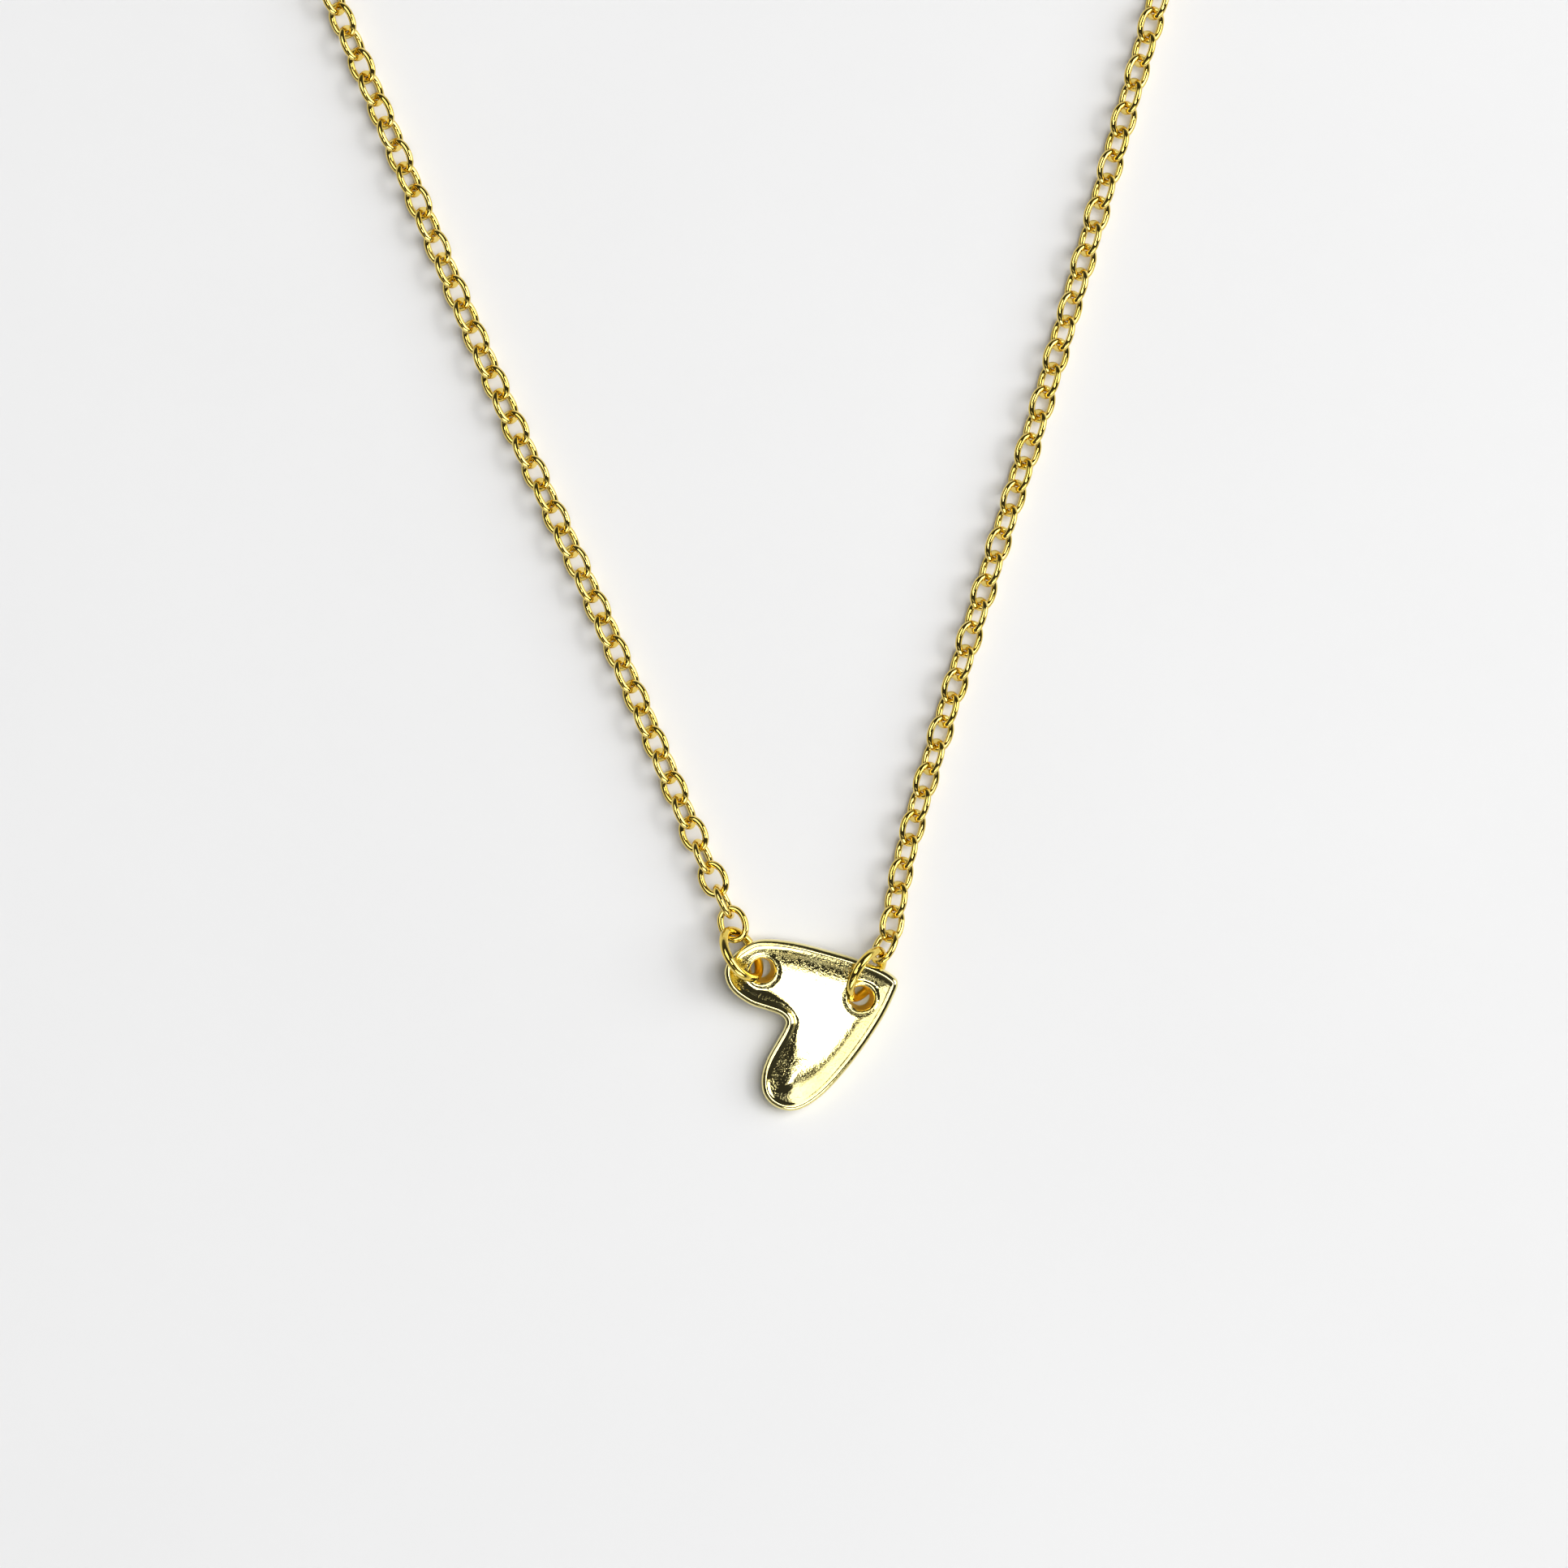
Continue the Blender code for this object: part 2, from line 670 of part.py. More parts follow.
    bpy.ops.mesh.primitive_cylinder_add(vertices=16, radius=0.23 * MM, depth=1.98 * MM)
    pin = bpy.context.object
    pin.matrix_world = frame @ Matrix.Translation((pivot_x * MM, pivot_y * MM, 0))
    place(pin, "clasp_pivot_pin")
    shade(pin, 40)

    # spring: a small coil between the boss wall and the lever, inside the slot
    coil = []
    turns, per_turn = 3, 10
    for i in range(turns * per_turn + 1):
        a = 2 * math.pi * i / per_turn
        coil.append(
            (
                0.18 * math.cos(a) * MM,
                (-0.30 + 0.60 * i / (turns * per_turn)) * MM,
                0.18 * math.sin(a) * MM,
            )
        )
    spring = wire_curve("spring", coil, 0.05 * MM, False, 6)
    spring.matrix_world = frame @ Matrix.Translation(((boss_x - 0.88) * MM, 0.62 * MM, 0))
    place(spring, "clasp_spring", (0.75, 0.72, 0.66, 1.0), 0.25)


def main():
    make_heart()
    rings = {
        "left": ring_frame((-4.10, 4.10), -57.8, 62.0),
        "right": ring_frame((3.20, 2.94), 239.0, 66.8),
    }
    for side, hole in (("left", LEFT_HOLE), ("right", RIGHT_HOLE)):
        middle, across, up = rings[side]
        pivot = Vector((hole[0], hole[1], middle.z - 0.5))
        make_ring(side + "_jump_ring", middle, across, up, RING_MID_R, pivot)
    path, spot = make_strand("left", rings["left"], 215.0, LEFT_LINE, LEFT_TURN, LEFT_END_TURN, 18.0)
    spot = end_ring("clasp_jump_ring", path, spot, 52.0)
    make_clasp(path, spot)
    path, spot = make_strand("right", rings["right"], 198.0, RIGHT_LINE, RIGHT_TURN, RIGHT_END_TURN, 36.0)
    spot = end_ring("extender_jump_ring", path, spot, 45.0)
    make_extender(path, spot)


main()
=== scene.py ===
"""Looks of the pendant necklace: every chain link, the dished heart, rings, clasp and extender."""

import math
import random

import bmesh
import bpy
import numpy as np
from mathutils import Matrix, Vector


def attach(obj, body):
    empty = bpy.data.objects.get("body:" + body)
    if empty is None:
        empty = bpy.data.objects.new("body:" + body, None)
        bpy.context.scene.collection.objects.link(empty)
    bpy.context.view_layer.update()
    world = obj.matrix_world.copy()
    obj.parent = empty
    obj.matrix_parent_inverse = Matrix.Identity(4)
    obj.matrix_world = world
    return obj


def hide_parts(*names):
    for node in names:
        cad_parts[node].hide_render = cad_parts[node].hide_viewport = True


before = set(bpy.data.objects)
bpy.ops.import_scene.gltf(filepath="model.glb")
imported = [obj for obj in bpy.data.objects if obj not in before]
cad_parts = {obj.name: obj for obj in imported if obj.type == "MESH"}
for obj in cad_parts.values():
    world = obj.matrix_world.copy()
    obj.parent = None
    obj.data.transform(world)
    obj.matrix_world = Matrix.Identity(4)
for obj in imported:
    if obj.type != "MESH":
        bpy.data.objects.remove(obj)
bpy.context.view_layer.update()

random.seed(7)
rng = np.random.default_rng(7)
MM = 0.001

# ---- the necklace's layout, in millimetres, as in the CAD ----
TABLE_Z = -0.43
HEART_RISE_X, HEART_RISE_Y = 0.0197, 0.0775
HOLE_R = 0.73
LEFT_HOLE = (-2.85, 3.21)
RIGHT_HOLE = (2.945, 1.59)
RING_MID_R, RING_WIRE_R = 1.55, 0.27
SMALL_RING_MID_R = 1.25
LINK_L, LINK_W, LINK_WIRE = 2.27, 1.81, 0.40
LINK_STEP = 1.44
CONTACT_GAP = LINK_L - 2 * LINK_WIRE - LINK_STEP
CHAIN_Z = 0.76
RING_DROP = {"left": 0.10, "right": 0.34}
NEAR_Z = {"left": 0.86, "right": 0.76}
LINKS_SINGLE = 8
RUNS = 8
LINKS_PER_RUN = 14
EXT_L, EXT_W, EXT_WIRE = 4.0, 3.0, 0.50
EXT_LINKS = 9
END_Z = {"left": 1.21, "right": 1.18}
DROP_R = 1.1
CLASP_Z = 1.15
FIRST_ROLL = {"left": -7.0, "right": -50.0}
FLAT_ROLL = {"left": -38.0, "right": -52.0}
HEART_POINTS = [
    (-5.07, 3.25), (-4.94, 2.45), (-4.45, 1.80), (-3.55, 1.20), (-2.55, 0.86),
    (-1.86, 0.60), (-1.52, 0.22), (-1.66, -0.30), (-2.10, -1.08), (-2.60, -2.00),
    (-2.90, -2.95), (-2.86, -3.90), (-2.42, -4.58), (-1.68, -4.97), (-0.88, -5.00),
    (0.02, -4.58), (1.05, -3.72), (2.20, -2.42), (3.30, -0.94), (4.22, 0.52),
    (4.86, 1.82), (5.05, 2.44), (4.84, 2.84), (4.05, 3.34), (2.60, 3.90),
    (0.95, 4.38), (-0.60, 4.78), (-2.10, 5.00), (-3.20, 4.96), (-4.05, 4.56),
    (-4.70, 3.96),
]
LEFT_LINE = [(-5.52, 7.95), (-6.75, 10.76), (-12.20, 23.60), (-18.03, 36.40), (-27.65, 59.20)]
RIGHT_LINE = [(5.02, 7.80), (5.70, 10.76), (9.55, 23.60), (13.52, 36.40), (20.05, 59.20)]
LEFT_TURN = (22.9, 4.0)
RIGHT_TURN = (-16.0, -2.0)
LEFT_END_TURN = -14.0
RIGHT_END_TURN = 24.0


# ---- materials ----
class Nodes:
    """Short hand for a material's node tree."""

    def __init__(self, name):
        self.mat = bpy.data.materials.new(name)
        self.mat.use_nodes = True
        self.tree = self.mat.node_tree
        self.shader = self.tree.nodes["Principled BSDF"]
        coords = self.tree.nodes.new("ShaderNodeTexCoord")
        self.place = coords.outputs["Object"]
        self.facing = coords.outputs["Normal"]

    def noise(self, scale, detail=3.0, rough=0.55, distort=0.0, stretch=None):
        n = self.tree.nodes.new("ShaderNodeTexNoise")
        n.inputs["Scale"].default_value = scale
        n.inputs["Detail"].default_value = detail
        n.inputs["Roughness"].default_value = rough
        n.inputs["Distortion"].default_value = distort
        if stretch:
            m = self.tree.nodes.new("ShaderNodeMapping")
            m.inputs["Scale"].default_value = stretch
            self.tree.links.new(self.place, m.inputs["Vector"])
            self.tree.links.new(m.outputs["Vector"], n.inputs["Vector"])
        else:
            self.tree.links.new(self.place, n.inputs["Vector"])
        return n.outputs["Fac"]

    def spread(self, value, lo, hi, to_lo, to_hi):
        n = self.tree.nodes.new("ShaderNodeMapRange")
        n.inputs["From Min"].default_value = lo
        n.inputs["From Max"].default_value = hi
        n.inputs["To Min"].default_value = to_lo
        n.inputs["To Max"].default_value = to_hi
        self.tree.links.new(value, n.inputs["Value"])
        return n.outputs["Result"]

    def mix(self, factor, a, b):
        n = self.tree.nodes.new("ShaderNodeMix")
        n.data_type = "RGBA"
        self.tree.links.new(factor, n.inputs["Factor"])
        for socket, value in ((n.inputs[6], a), (n.inputs[7], b)):
            if isinstance(value, tuple):
                socket.default_value = value
            else:
                self.tree.links.new(value, socket)
        return n.outputs[2]

    def times(self, a, b):
        n = self.tree.nodes.new("ShaderNodeMath")
        n.operation = "MULTIPLY"
        self.tree.links.new(a, n.inputs[0])
        self.tree.links.new(b, n.inputs[1])
        return n.outputs["Value"]

    def height(self, up):
        """Height of a point of the piece along a direction, from its own origin."""
        n = self.tree.nodes.new("ShaderNodeVectorMath")
        n.operation = "DOT_PRODUCT"
        self.tree.links.new(self.place, n.inputs[0])
        n.inputs[1].default_value = up
        return n.outputs["Value"]

    def level(self):
        """How level the piece's own surface lies: 1 facing straight up, 0 on its sides."""
        n = self.tree.nodes.new("ShaderNodeSeparateXYZ")
        self.tree.links.new(self.facing, n.inputs["Vector"])
        return n.outputs["Z"]

    def bump(self, height, distance, strength=1.0, normal=None):
        n = self.tree.nodes.new("ShaderNodeBump")
        n.inputs["Strength"].default_value = strength
        n.inputs["Distance"].default_value = distance
        self.tree.links.new(height, n.inputs["Height"])
        if normal is not None:
            self.tree.links.new(normal, n.inputs["Normal"])
        return n.outputs["Normal"]

    def join(self, socket, value):
        self.tree.links.new(value, self.shader.inputs[socket])


def gold_material(name, light, deep, rough, wobble=0.0000012, pits=0.0):
    """Polished plate: slow drifts of tone, fine rub marks in the gloss, and a faint waviness."""
    n = Nodes(name)
    n.shader.inputs["Metallic"].default_value = 1.0
    drift = n.noise(900.0, 2.0)
    fine = n.noise(7000.0, 4.0, 0.6)
    n.join("Base Color", n.mix(n.spread(drift, 0.35, 0.65, 0.0, 1.0), light, deep))
    n.join("Roughness", n.spread(fine, 0.3, 0.7, rough * 0.7, rough * 1.5))
    wavy = n.bump(n.noise(1500.0, 2.0, 0.5), wobble * 8)
    scratch = n.bump(n.noise(14000.0, 2.0, 0.6, stretch=(1.0, 0.12, 1.0)), wobble, 1.0, wavy)
    n.join("Normal", scratch)
    return n.mat


def heart_matrix():
    return Matrix.Rotation(-math.atan(HEART_RISE_X), 4, "Y") @ Matrix.Rotation(
        math.atan(HEART_RISE_Y), 4, "X"
    )


def heart_material(name):
    """Cast and polished: a hammered ripple in the dish that fades out over the polished rim."""
    n = Nodes(name)
    n.shader.inputs["Metallic"].default_value = 1.0
    drift = n.noise(600.0, 2.0)
    fine = n.noise(6000.0, 4.0, 0.6)
    n.join(
        "Base Color",
        n.mix(n.spread(drift, 0.35, 0.65, 0.0, 1.0), (0.90, 0.80, 0.36, 1), (0.84, 0.72, 0.28, 1)),
    )
    n.join("Roughness", n.spread(fine, 0.3, 0.7, 0.03, 0.085))
    ripple = n.noise(2200.0, 2.0, 0.5)
    grain = n.noise(9500.0, 3.0, 0.6)
    first = n.bump(ripple, 0.000008)
    fine = n.bump(grain, 0.0000035, 1.0, first)
    # the dish's sloping sides keep the pits of the casting; its flat middle and the rim are rubbed bright
    pits = n.spread(n.noise(8200.0, 2.0, 0.55), 0.50, 0.66, 0.0, 1.0)
    sloping = n.times(n.spread(n.level(), 0.975, 0.998, 1.0, 0.0), n.spread(n.level(), 0.86, 0.92, 0.0, 1.0))
    below_rim = n.spread(n.height(heart_matrix() @ Vector((0, 0, 1))), 0.00084, 0.00089, 1.0, 0.0)
    n.join("Normal", n.bump(n.times(pits, n.times(sloping, below_rim)), 0.0000055, 1.0, fine))
    return n.mat


CHAIN_GOLD = gold_material("chain_gold", (0.88, 0.68, 0.20, 1), (0.80, 0.59, 0.12, 1), 0.045)
RING_GOLD = gold_material("ring_gold", (0.86, 0.66, 0.165, 1), (0.80, 0.585, 0.11, 1), 0.045)
BORE_GOLD = gold_material("bore_gold", (1.0, 0.72, 0.14, 1), (0.98, 0.64, 0.09, 1), 0.36)
CLASP_GOLD = gold_material("clasp_gold", (1.0, 0.74, 0.22, 1), (0.97, 0.66, 0.14, 1), 0.08)
DROP_GOLD = gold_material("drop_gold", (1.0, 0.74, 0.22, 1), (0.98, 0.68, 0.14, 1), 0.05)
HEART_GOLD = heart_material("heart_gold")


def steel_material():
    n = Nodes("spring_steel")
    n.shader.inputs["Metallic"].default_value = 1.0
    n.join(
        "Base Color",
        n.mix(n.spread(n.noise(3000.0), 0.35, 0.65, 0.0, 1.0), (0.72, 0.69, 0.62, 1), (0.56, 0.54, 0.50, 1)),
    )
    n.join("Roughness", n.spread(n.noise(9000.0, 4.0), 0.3, 0.7, 0.18, 0.34))
    n.join("Normal", n.bump(n.noise(20000.0, 2.0), 0.000002))
    return n.mat


STEEL = steel_material()


# ---- helpers ----
def at(x, y, z):
    """A point given in millimetres, with z above the table."""
    return Vector((x, y, z + TABLE_Z)) * MM


def make_object(name, verts, faces, material, origin, smooth_angle=None):
    """A piece from world-space points in metres, with its origin on its joint's axis."""
    mesh = bpy.data.meshes.new(name)
    base = np.array(origin)
    mesh.from_pydata([tuple(v) for v in (np.asarray(verts) - base)], [], faces)
    mesh.update()
    obj = bpy.data.objects.new(name, mesh)
    bpy.context.scene.collection.objects.link(obj)
    obj.location = Vector(origin)
    mesh.materials.append(material)
    mesh.shade_smooth()
    if smooth_angle is not None:
        mesh.set_sharp_from_angle(angle=math.radians(smooth_angle))
    return obj


def settle(obj, body, replaced):
    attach(obj, body)
    if replaced:
        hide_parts(*replaced)
    return obj


def grid_faces(rows, cols, wrap_rows, wrap_cols, base=0):
    """Quads over a grid of points, outward for rows that run along a tube and columns round it."""
    faces = []
    for i in range(rows if wrap_rows else rows - 1):
        a, b = i * cols, ((i + 1) % rows) * cols
        for j in range(cols if wrap_cols else cols - 1):
            k = (j + 1) % cols
            faces.append((base + a + j, base + b + j, base + b + k, base + a + k))
    return faces


def closed_smooth(points, per_span):
    made, n = [], len(points)
    for i in range(n):
        p0, p1, p2, p3 = (Vector(points[(i + k - 1) % n]) for k in range(4))
        for j in range(per_span):
            t = j / per_span
            made.append(
                0.5
                * (
                    2 * p1
                    + (p2 - p0) * t
                    + (2 * p0 - 5 * p1 + 4 * p2 - p3) * t * t
                    + (3 * p1 - p0 - 3 * p2 + p3) * t**3
                )
            )
    return made


def open_smooth(points, step):
    pts = [Vector(p) for p in points]
    pts = [2 * pts[0] - pts[1]] + pts + [2 * pts[-1] - pts[-2]]
    made = []
    for i in range(1, len(pts) - 2):
        p0, p1, p2, p3 = pts[i - 1 : i + 3]
        t0 = 0.0
        t1 = t0 + math.sqrt((p1 - p0).length)
        t2 = t1 + math.sqrt((p2 - p1).length)
        t3 = t2 + math.sqrt((p3 - p2).length)
        count = max(1, int((p2 - p1).length / step))
        for j in range(count):
            t = t1 + (t2 - t1) * j / count
            a1 = p0 * ((t1 - t) / (t1 - t0)) + p1 * ((t - t0) / (t1 - t0))
            a2 = p1 * ((t2 - t) / (t2 - t1)) + p2 * ((t - t1) / (t2 - t1))
            a3 = p2 * ((t3 - t) / (t3 - t2)) + p3 * ((t - t2) / (t3 - t2))
            b1 = a1 * ((t2 - t) / (t2 - t0)) + a2 * ((t - t0) / (t2 - t0))
            b2 = a2 * ((t3 - t) / (t3 - t1)) + a3 * ((t - t1) / (t3 - t1))
            made.append(b1 * ((t2 - t) / (t2 - t1)) + b2 * ((t - t1) / (t2 - t1)))
    made.append(pts[-2])
    return made


# ---- chain ----
def walk(path, start, step):
    i, here = start
    for k in range(i, len(path) - 1):
        a, b = path[k], path[k + 1]
        if (b - here).length >= step:
            lo, hi = 0.0, 1.0
            for _ in range(30):
                mid = (lo + hi) / 2
                if (a.lerp(b, mid) - here).length < step:
                    lo = mid
                else:
                    hi = mid
            return k, a.lerp(b, hi)
    raise ValueError("the path is too short")


def heading_vector(degrees):
    return Vector((-math.sin(math.radians(degrees)), math.cos(math.radians(degrees))))


def strand_path(first, second, line, turn, length, end_turn, end_length):
    flat = [(p[0], p[1]) for p in (first, second)] + list(line)
    path = [Vector((p.x, p.y)) for p in open_smooth([Vector((x, y, 0)) for x, y in flat], 0.25)]
    step, done = 0.5, 0.0
    while done < length + end_length:
        if done < length:
            heading = turn[0] + (turn[1] - turn[0]) * done / length
        else:
            heading = turn[1] + end_turn * (done - length) / end_length
        path.append(path[-1] + heading_vector(heading) * step)
        done += step
    return path


def lift(path2, heights):
    made, along = [], 0.0
    for i, p in enumerate(path2):
        if i:
            along += (p - path2[i - 1]).length
        z = heights[-1][1]
        for (s0, z0), (s1, z1) in zip(heights, heights[1:]):
            if along <= s1:
                t = max(0.0, (along - s0) / (s1 - s0))
                t = t * t * (3 - 2 * t)
                z = z0 + (z1 - z0) * t
                break
        made.append(Vector((p.x, p.y, z)))
    return made


def frame_along(start, end, roll):
    x = (end - start).normalized()
    level = Vector((0, 0, 1)).cross(x).normalized()
    y = Matrix.Rotation(math.radians(roll), 3, x) @ level
    z = x.cross(y)
    return Matrix((x, y, z)).transposed().to_4x4()


def chain_roll(number, side):
    settled = min(1.0, (number - 1) / 6.0)
    first, flat = FIRST_ROLL[side], FLAT_ROLL[side]
    base = first + (flat - first) * settled
    return base if number % 2 else base + 90.0


def contact_on_ring(middle, across, up, degrees, inner_r):
    t = math.radians(degrees)
    out = across * math.cos(t) + up * math.sin(t)
    return middle + out * (inner_r - CONTACT_GAP / 2), out


def ring_frame(centre, turn, tilt):
    a, b = math.radians(turn), math.radians(tilt)
    across = Vector((math.cos(a), math.sin(a), 0))
    up = Vector((math.sin(a) * math.cos(b), -math.cos(a) * math.cos(b), math.sin(b)))
    middle = Vector((centre[0], centre[1], RING_MID_R * math.sin(b) + RING_WIRE_R + 0.005))
    return middle, across, up


def oval_tube(length, width, wire, start, stations=52, sides=18):
    """Points of an oval wire link along +X in millimetres, whose near inner end is at x = start."""
    a, b = (length - wire) / 2, (width - wire) / 2
    mid = start + (length - 2 * wire) / 2
    t = 2 * np.pi * (np.arange(stations) + 0.5) / stations
    c, s = np.cos(t), np.sin(t)
    x = mid + a * np.sign(c) * np.abs(c) ** 0.92
    y = b * np.sign(s) * np.abs(s) ** 0.92
    tangent = np.stack([np.roll(x, -1) - np.roll(x, 1), np.roll(y, -1) - np.roll(y, 1)], 1)
    tangent /= np.linalg.norm(tangent, axis=1)[:, None]
    normal = np.stack([tangent[:, 1], -tangent[:, 0]], 1)
    f = 2 * np.pi * np.arange(sides) / sides
    pts = np.zeros((stations, sides, 3))
    r = wire / 2 * 0.975  # a hair thinner, so that smooth round wires bear without biting
    pts[:, :, 0] = x[:, None] + r * np.cos(f)[None, :] * normal[:, None, 0]
    pts[:, :, 1] = y[:, None] + r * np.cos(f)[None, :] * normal[:, None, 1]
    pts[:, :, 2] = r * np.sin(f)[None, :]
    return pts.reshape(-1, 3), stations, sides


def link_points(start, end, roll, size, stations=52, sides=18):
    """World points, in metres, of a link hung between two contacts."""
    length, width, wire = size
    gap = (length - 2 * wire) - (end - start).length
    pts, rows, cols = oval_tube(length, width, wire, -gap / 2, stations, sides)
    m = np.array(frame_along(start, end, roll).to_3x3())
    world = pts @ m.T + np.array(start)
    world[:, 2] += TABLE_Z
    return world * MM, rows, cols


def tube_faces(rows, cols, base):
    return [tuple(reversed(f)) for f in grid_faces(rows, cols, True, True, base)]


def make_links(name, spans, size, material, body, replaced, origin, stations=52, sides=18):
    verts, faces, base = [], [], 0
    for start, end, roll in spans:
        pts, rows, cols = link_points(start, end, roll, size, stations, sides)
        verts.append(pts)
        faces += tube_faces(rows, cols, base)
        base += len(pts)
    obj = make_object(name, np.concatenate(verts), faces, material, at(*origin))
    return settle(obj, body, replaced)


def ring_tube(middle, across, up, mid_r, wire_r, seam_degrees, rows=72, cols=20):
    """World points of a jump ring whose wire has a hairline cut at the given angle."""
    t0 = math.radians(seam_degrees)
    stations = []
    for i in range(rows):
        t = t0 + 2 * math.pi * i / rows
        stations.append((t, 1.0))
    # the cut: the wire's end edges are slightly rounded where they meet
    cut = 0.012 / mid_r
    stations = (
        [(t0, 0.86), (t0 + cut, 0.975), (t0 + 2.5 * cut, 1.0)]
        + stations[1:]
        + [(t0 + 2 * math.pi - 2.5 * cut, 1.0), (t0 + 2 * math.pi - cut, 0.975)]
    )
    normal = across.cross(up)
    a, u, n, m = (np.array(v) for v in (across, up, normal, middle))
    verts = []
    for t, k in stations:
        out = a * math.cos(t) + u * math.sin(t)
        for j in range(cols):
            f = 2 * math.pi * j / cols
            verts.append(m + out * (mid_r + wire_r * k * math.cos(f)) + n * (wire_r * k * math.sin(f)))
    verts = np.array(verts)
    verts[:, 2] += TABLE_Z
    return verts * MM, len(stations), cols


def make_ring(name, middle, across, up, mid_r, pivot, seam):
    pts, rows, cols = ring_tube(middle, across, up, mid_r, RING_WIRE_R, seam)
    faces = grid_faces(rows, cols, True, True)
    obj = make_object(name + "_look", pts, [tuple(reversed(f)) for f in faces], RING_GOLD, at(*pivot))
    return settle(obj, name, [name])


def outward(obj):
    bm = bmesh.new()
    bm.from_mesh(obj.data)
    rim = [e for e in bm.edges if e.is_boundary]
    if rim:  # the small ends of a turned shape
        bmesh.ops.holes_fill(bm, edges=rim, sides=0)
    bmesh.ops.recalc_face_normals(bm, faces=bm.faces)
    bm.to_mesh(obj.data)
    bm.free()


def make_strand(side, ring, contact_degrees, line, turn, end_turn, end_length):
    middle, across, up = ring
    first, out = contact_on_ring(middle, across, up, contact_degrees, RING_MID_R - RING_WIRE_R)
    towards = Vector((line[0][0], line[0][1], 0)) - Vector((first.x, first.y, 0))
    level_out = Vector((out.x, out.y, 0)).normalized()
    second = first + (0.45 * level_out + 0.55 * towards.normalized()).normalized() * LINK_STEP
    links = LINKS_SINGLE + RUNS * LINKS_PER_RUN + 1
    rest = links * LINK_STEP - 58.0
    flat = strand_path(first, second, line, turn, rest, end_turn, end_length)
    path = lift(
        flat,
        [
            (0.0, first.z),
            (LINK_STEP, first.z - RING_DROP[side]),
            (3.2 * LINK_STEP, NEAR_Z[side]),
            (7.0 * LINK_STEP, CHAIN_Z),
            (links * LINK_STEP - 3.2, CHAIN_Z),
            (links * LINK_STEP, END_Z[side]),
            (999.0, END_Z[side]),
        ],
    )
    spot = (0, path[0])
    contacts = [spot]
    for _ in range(links):
        spot = walk(path, spot, LINK_STEP)
        contacts.append(spot)
    size = (LINK_L, LINK_W, LINK_WIRE)

    def span(i, jitter):
        """The link from contact i, its roll a little off as real ones settle."""
        roll = chain_roll(i + 1, side) + (random.uniform(-jitter, jitter) if jitter else 0.0)
        return contacts[i][1], contacts[i + 1][1], roll

    for i in range(LINKS_SINGLE):
        name = f"{side}_link_{i + 1:02d}"
        make_links(
            name + "_look", [span(i, 0.0 if i < 2 else 1.5)], size, CHAIN_GOLD, name, [name],
            contacts[i][1],
        )
    for k in range(RUNS):
        a = LINKS_SINGLE + k * LINKS_PER_RUN
        name = f"{side}_chain_run_{k + 1}"
        make_links(
            name + "_look", [span(i, 3.0) for i in range(a, a + LINKS_PER_RUN)], size, CHAIN_GOLD,
            name, [name], contacts[a][1],
        )
    last = links - 1
    name = f"{side}_end_link"
    make_links(
        name + "_look", [(contacts[last][1], contacts[last + 1][1], -45.0)], size, CHAIN_GOLD, name,
        [name], contacts[last][1],
    )
    return path, contacts[-1]


# ---- heart ----
BEAD_TOP, BEAD_W, WALL_Z = 0.97, 0.50, 0.70  # rim's height, its width, and where the outer wall rounds over
DISH_EDGE = 0.885  # height of the dish where it meets the bead
DISH_SLOPE, DISH_REACH = 0.40, 0.47
NOTCH = (-1.43, 0.27)  # where the lobes meet; the dish drops short and steep beside it
BOWL = (-1.9, -3.2)  # the lower lobe's deepest hollow
COLLAR = 0.055
# how far each bore leans by the back, and how much it narrows
BORE_LEAN = {LEFT_HOLE: (-0.12, 0.10, 0.78), RIGHT_HOLE: (-0.12, 0.06, 0.76)}


def near_outline(points, outline):
    """Distance from each point to the closed outline."""
    best = np.full(len(points), 1e9)
    n = len(outline)
    for i in range(n):
        a, b = outline[i], outline[(i + 1) % n]
        d = b - a
        t = np.clip(((points - a) @ d) / (d @ d), 0, 1)
        best = np.minimum(best, np.linalg.norm(points - (a + t[:, None] * d), axis=1))
    return best


def heart_top(points, outline):
    """Height of the heart's front at each point inside its outline."""
    d = near_outline(points, outline)
    z = np.empty(len(points))
    # outer quarter of the bead, its inner quarter, then the dish
    outer, inner = 0.27, BEAD_W
    o = np.clip((outer - d) / outer, 0, 1)
    z_outer = WALL_Z + (BEAD_TOP - WALL_Z) * np.sqrt(np.clip(1 - o * o, 0, 1))
    q = np.clip((d - outer) / (inner - outer), 0, 1)
    z_inner = BEAD_TOP + (DISH_EDGE - BEAD_TOP) * (q * q * (3 - 2 * q) * 0.55 + q * q * 0.45)
    e = np.clip(d - inner, 0, None)
    far = np.clip((np.linalg.norm(points - np.array(NOTCH), axis=1) - 0.6) / 1.7, 0, 1)
    bowl = np.exp(-((np.linalg.norm(points - np.array(BOWL), axis=1) / 1.7) ** 2))
    reach = DISH_REACH * (0.15 + 0.85 * far * far * (3 - 2 * far)) * (1 + 0.7 * bowl)
    depth = DISH_SLOPE * DISH_REACH * (1 + 0.7 * bowl)
    z_dish = DISH_EDGE - depth * (1 - np.exp(-e / reach))
    z = np.where(d < outer, z_outer, np.where(d < inner, z_inner, z_dish))
    for hole in (LEFT_HOLE, RIGHT_HOLE):
        r = np.linalg.norm(points - np.array(hole), axis=1) - HOLE_R
        z += COLLAR * np.exp(-(((r - 0.16) / 0.13) ** 2)) * (r > -0.2)
        z -= 0.05 * np.exp(-np.clip(r, 0, None) / 0.05)
    return z


def make_heart():
    outline = np.array([(p.x, p.y) for p in closed_smooth([Vector(p) for p in HEART_POINTS], 12)])
    return outline


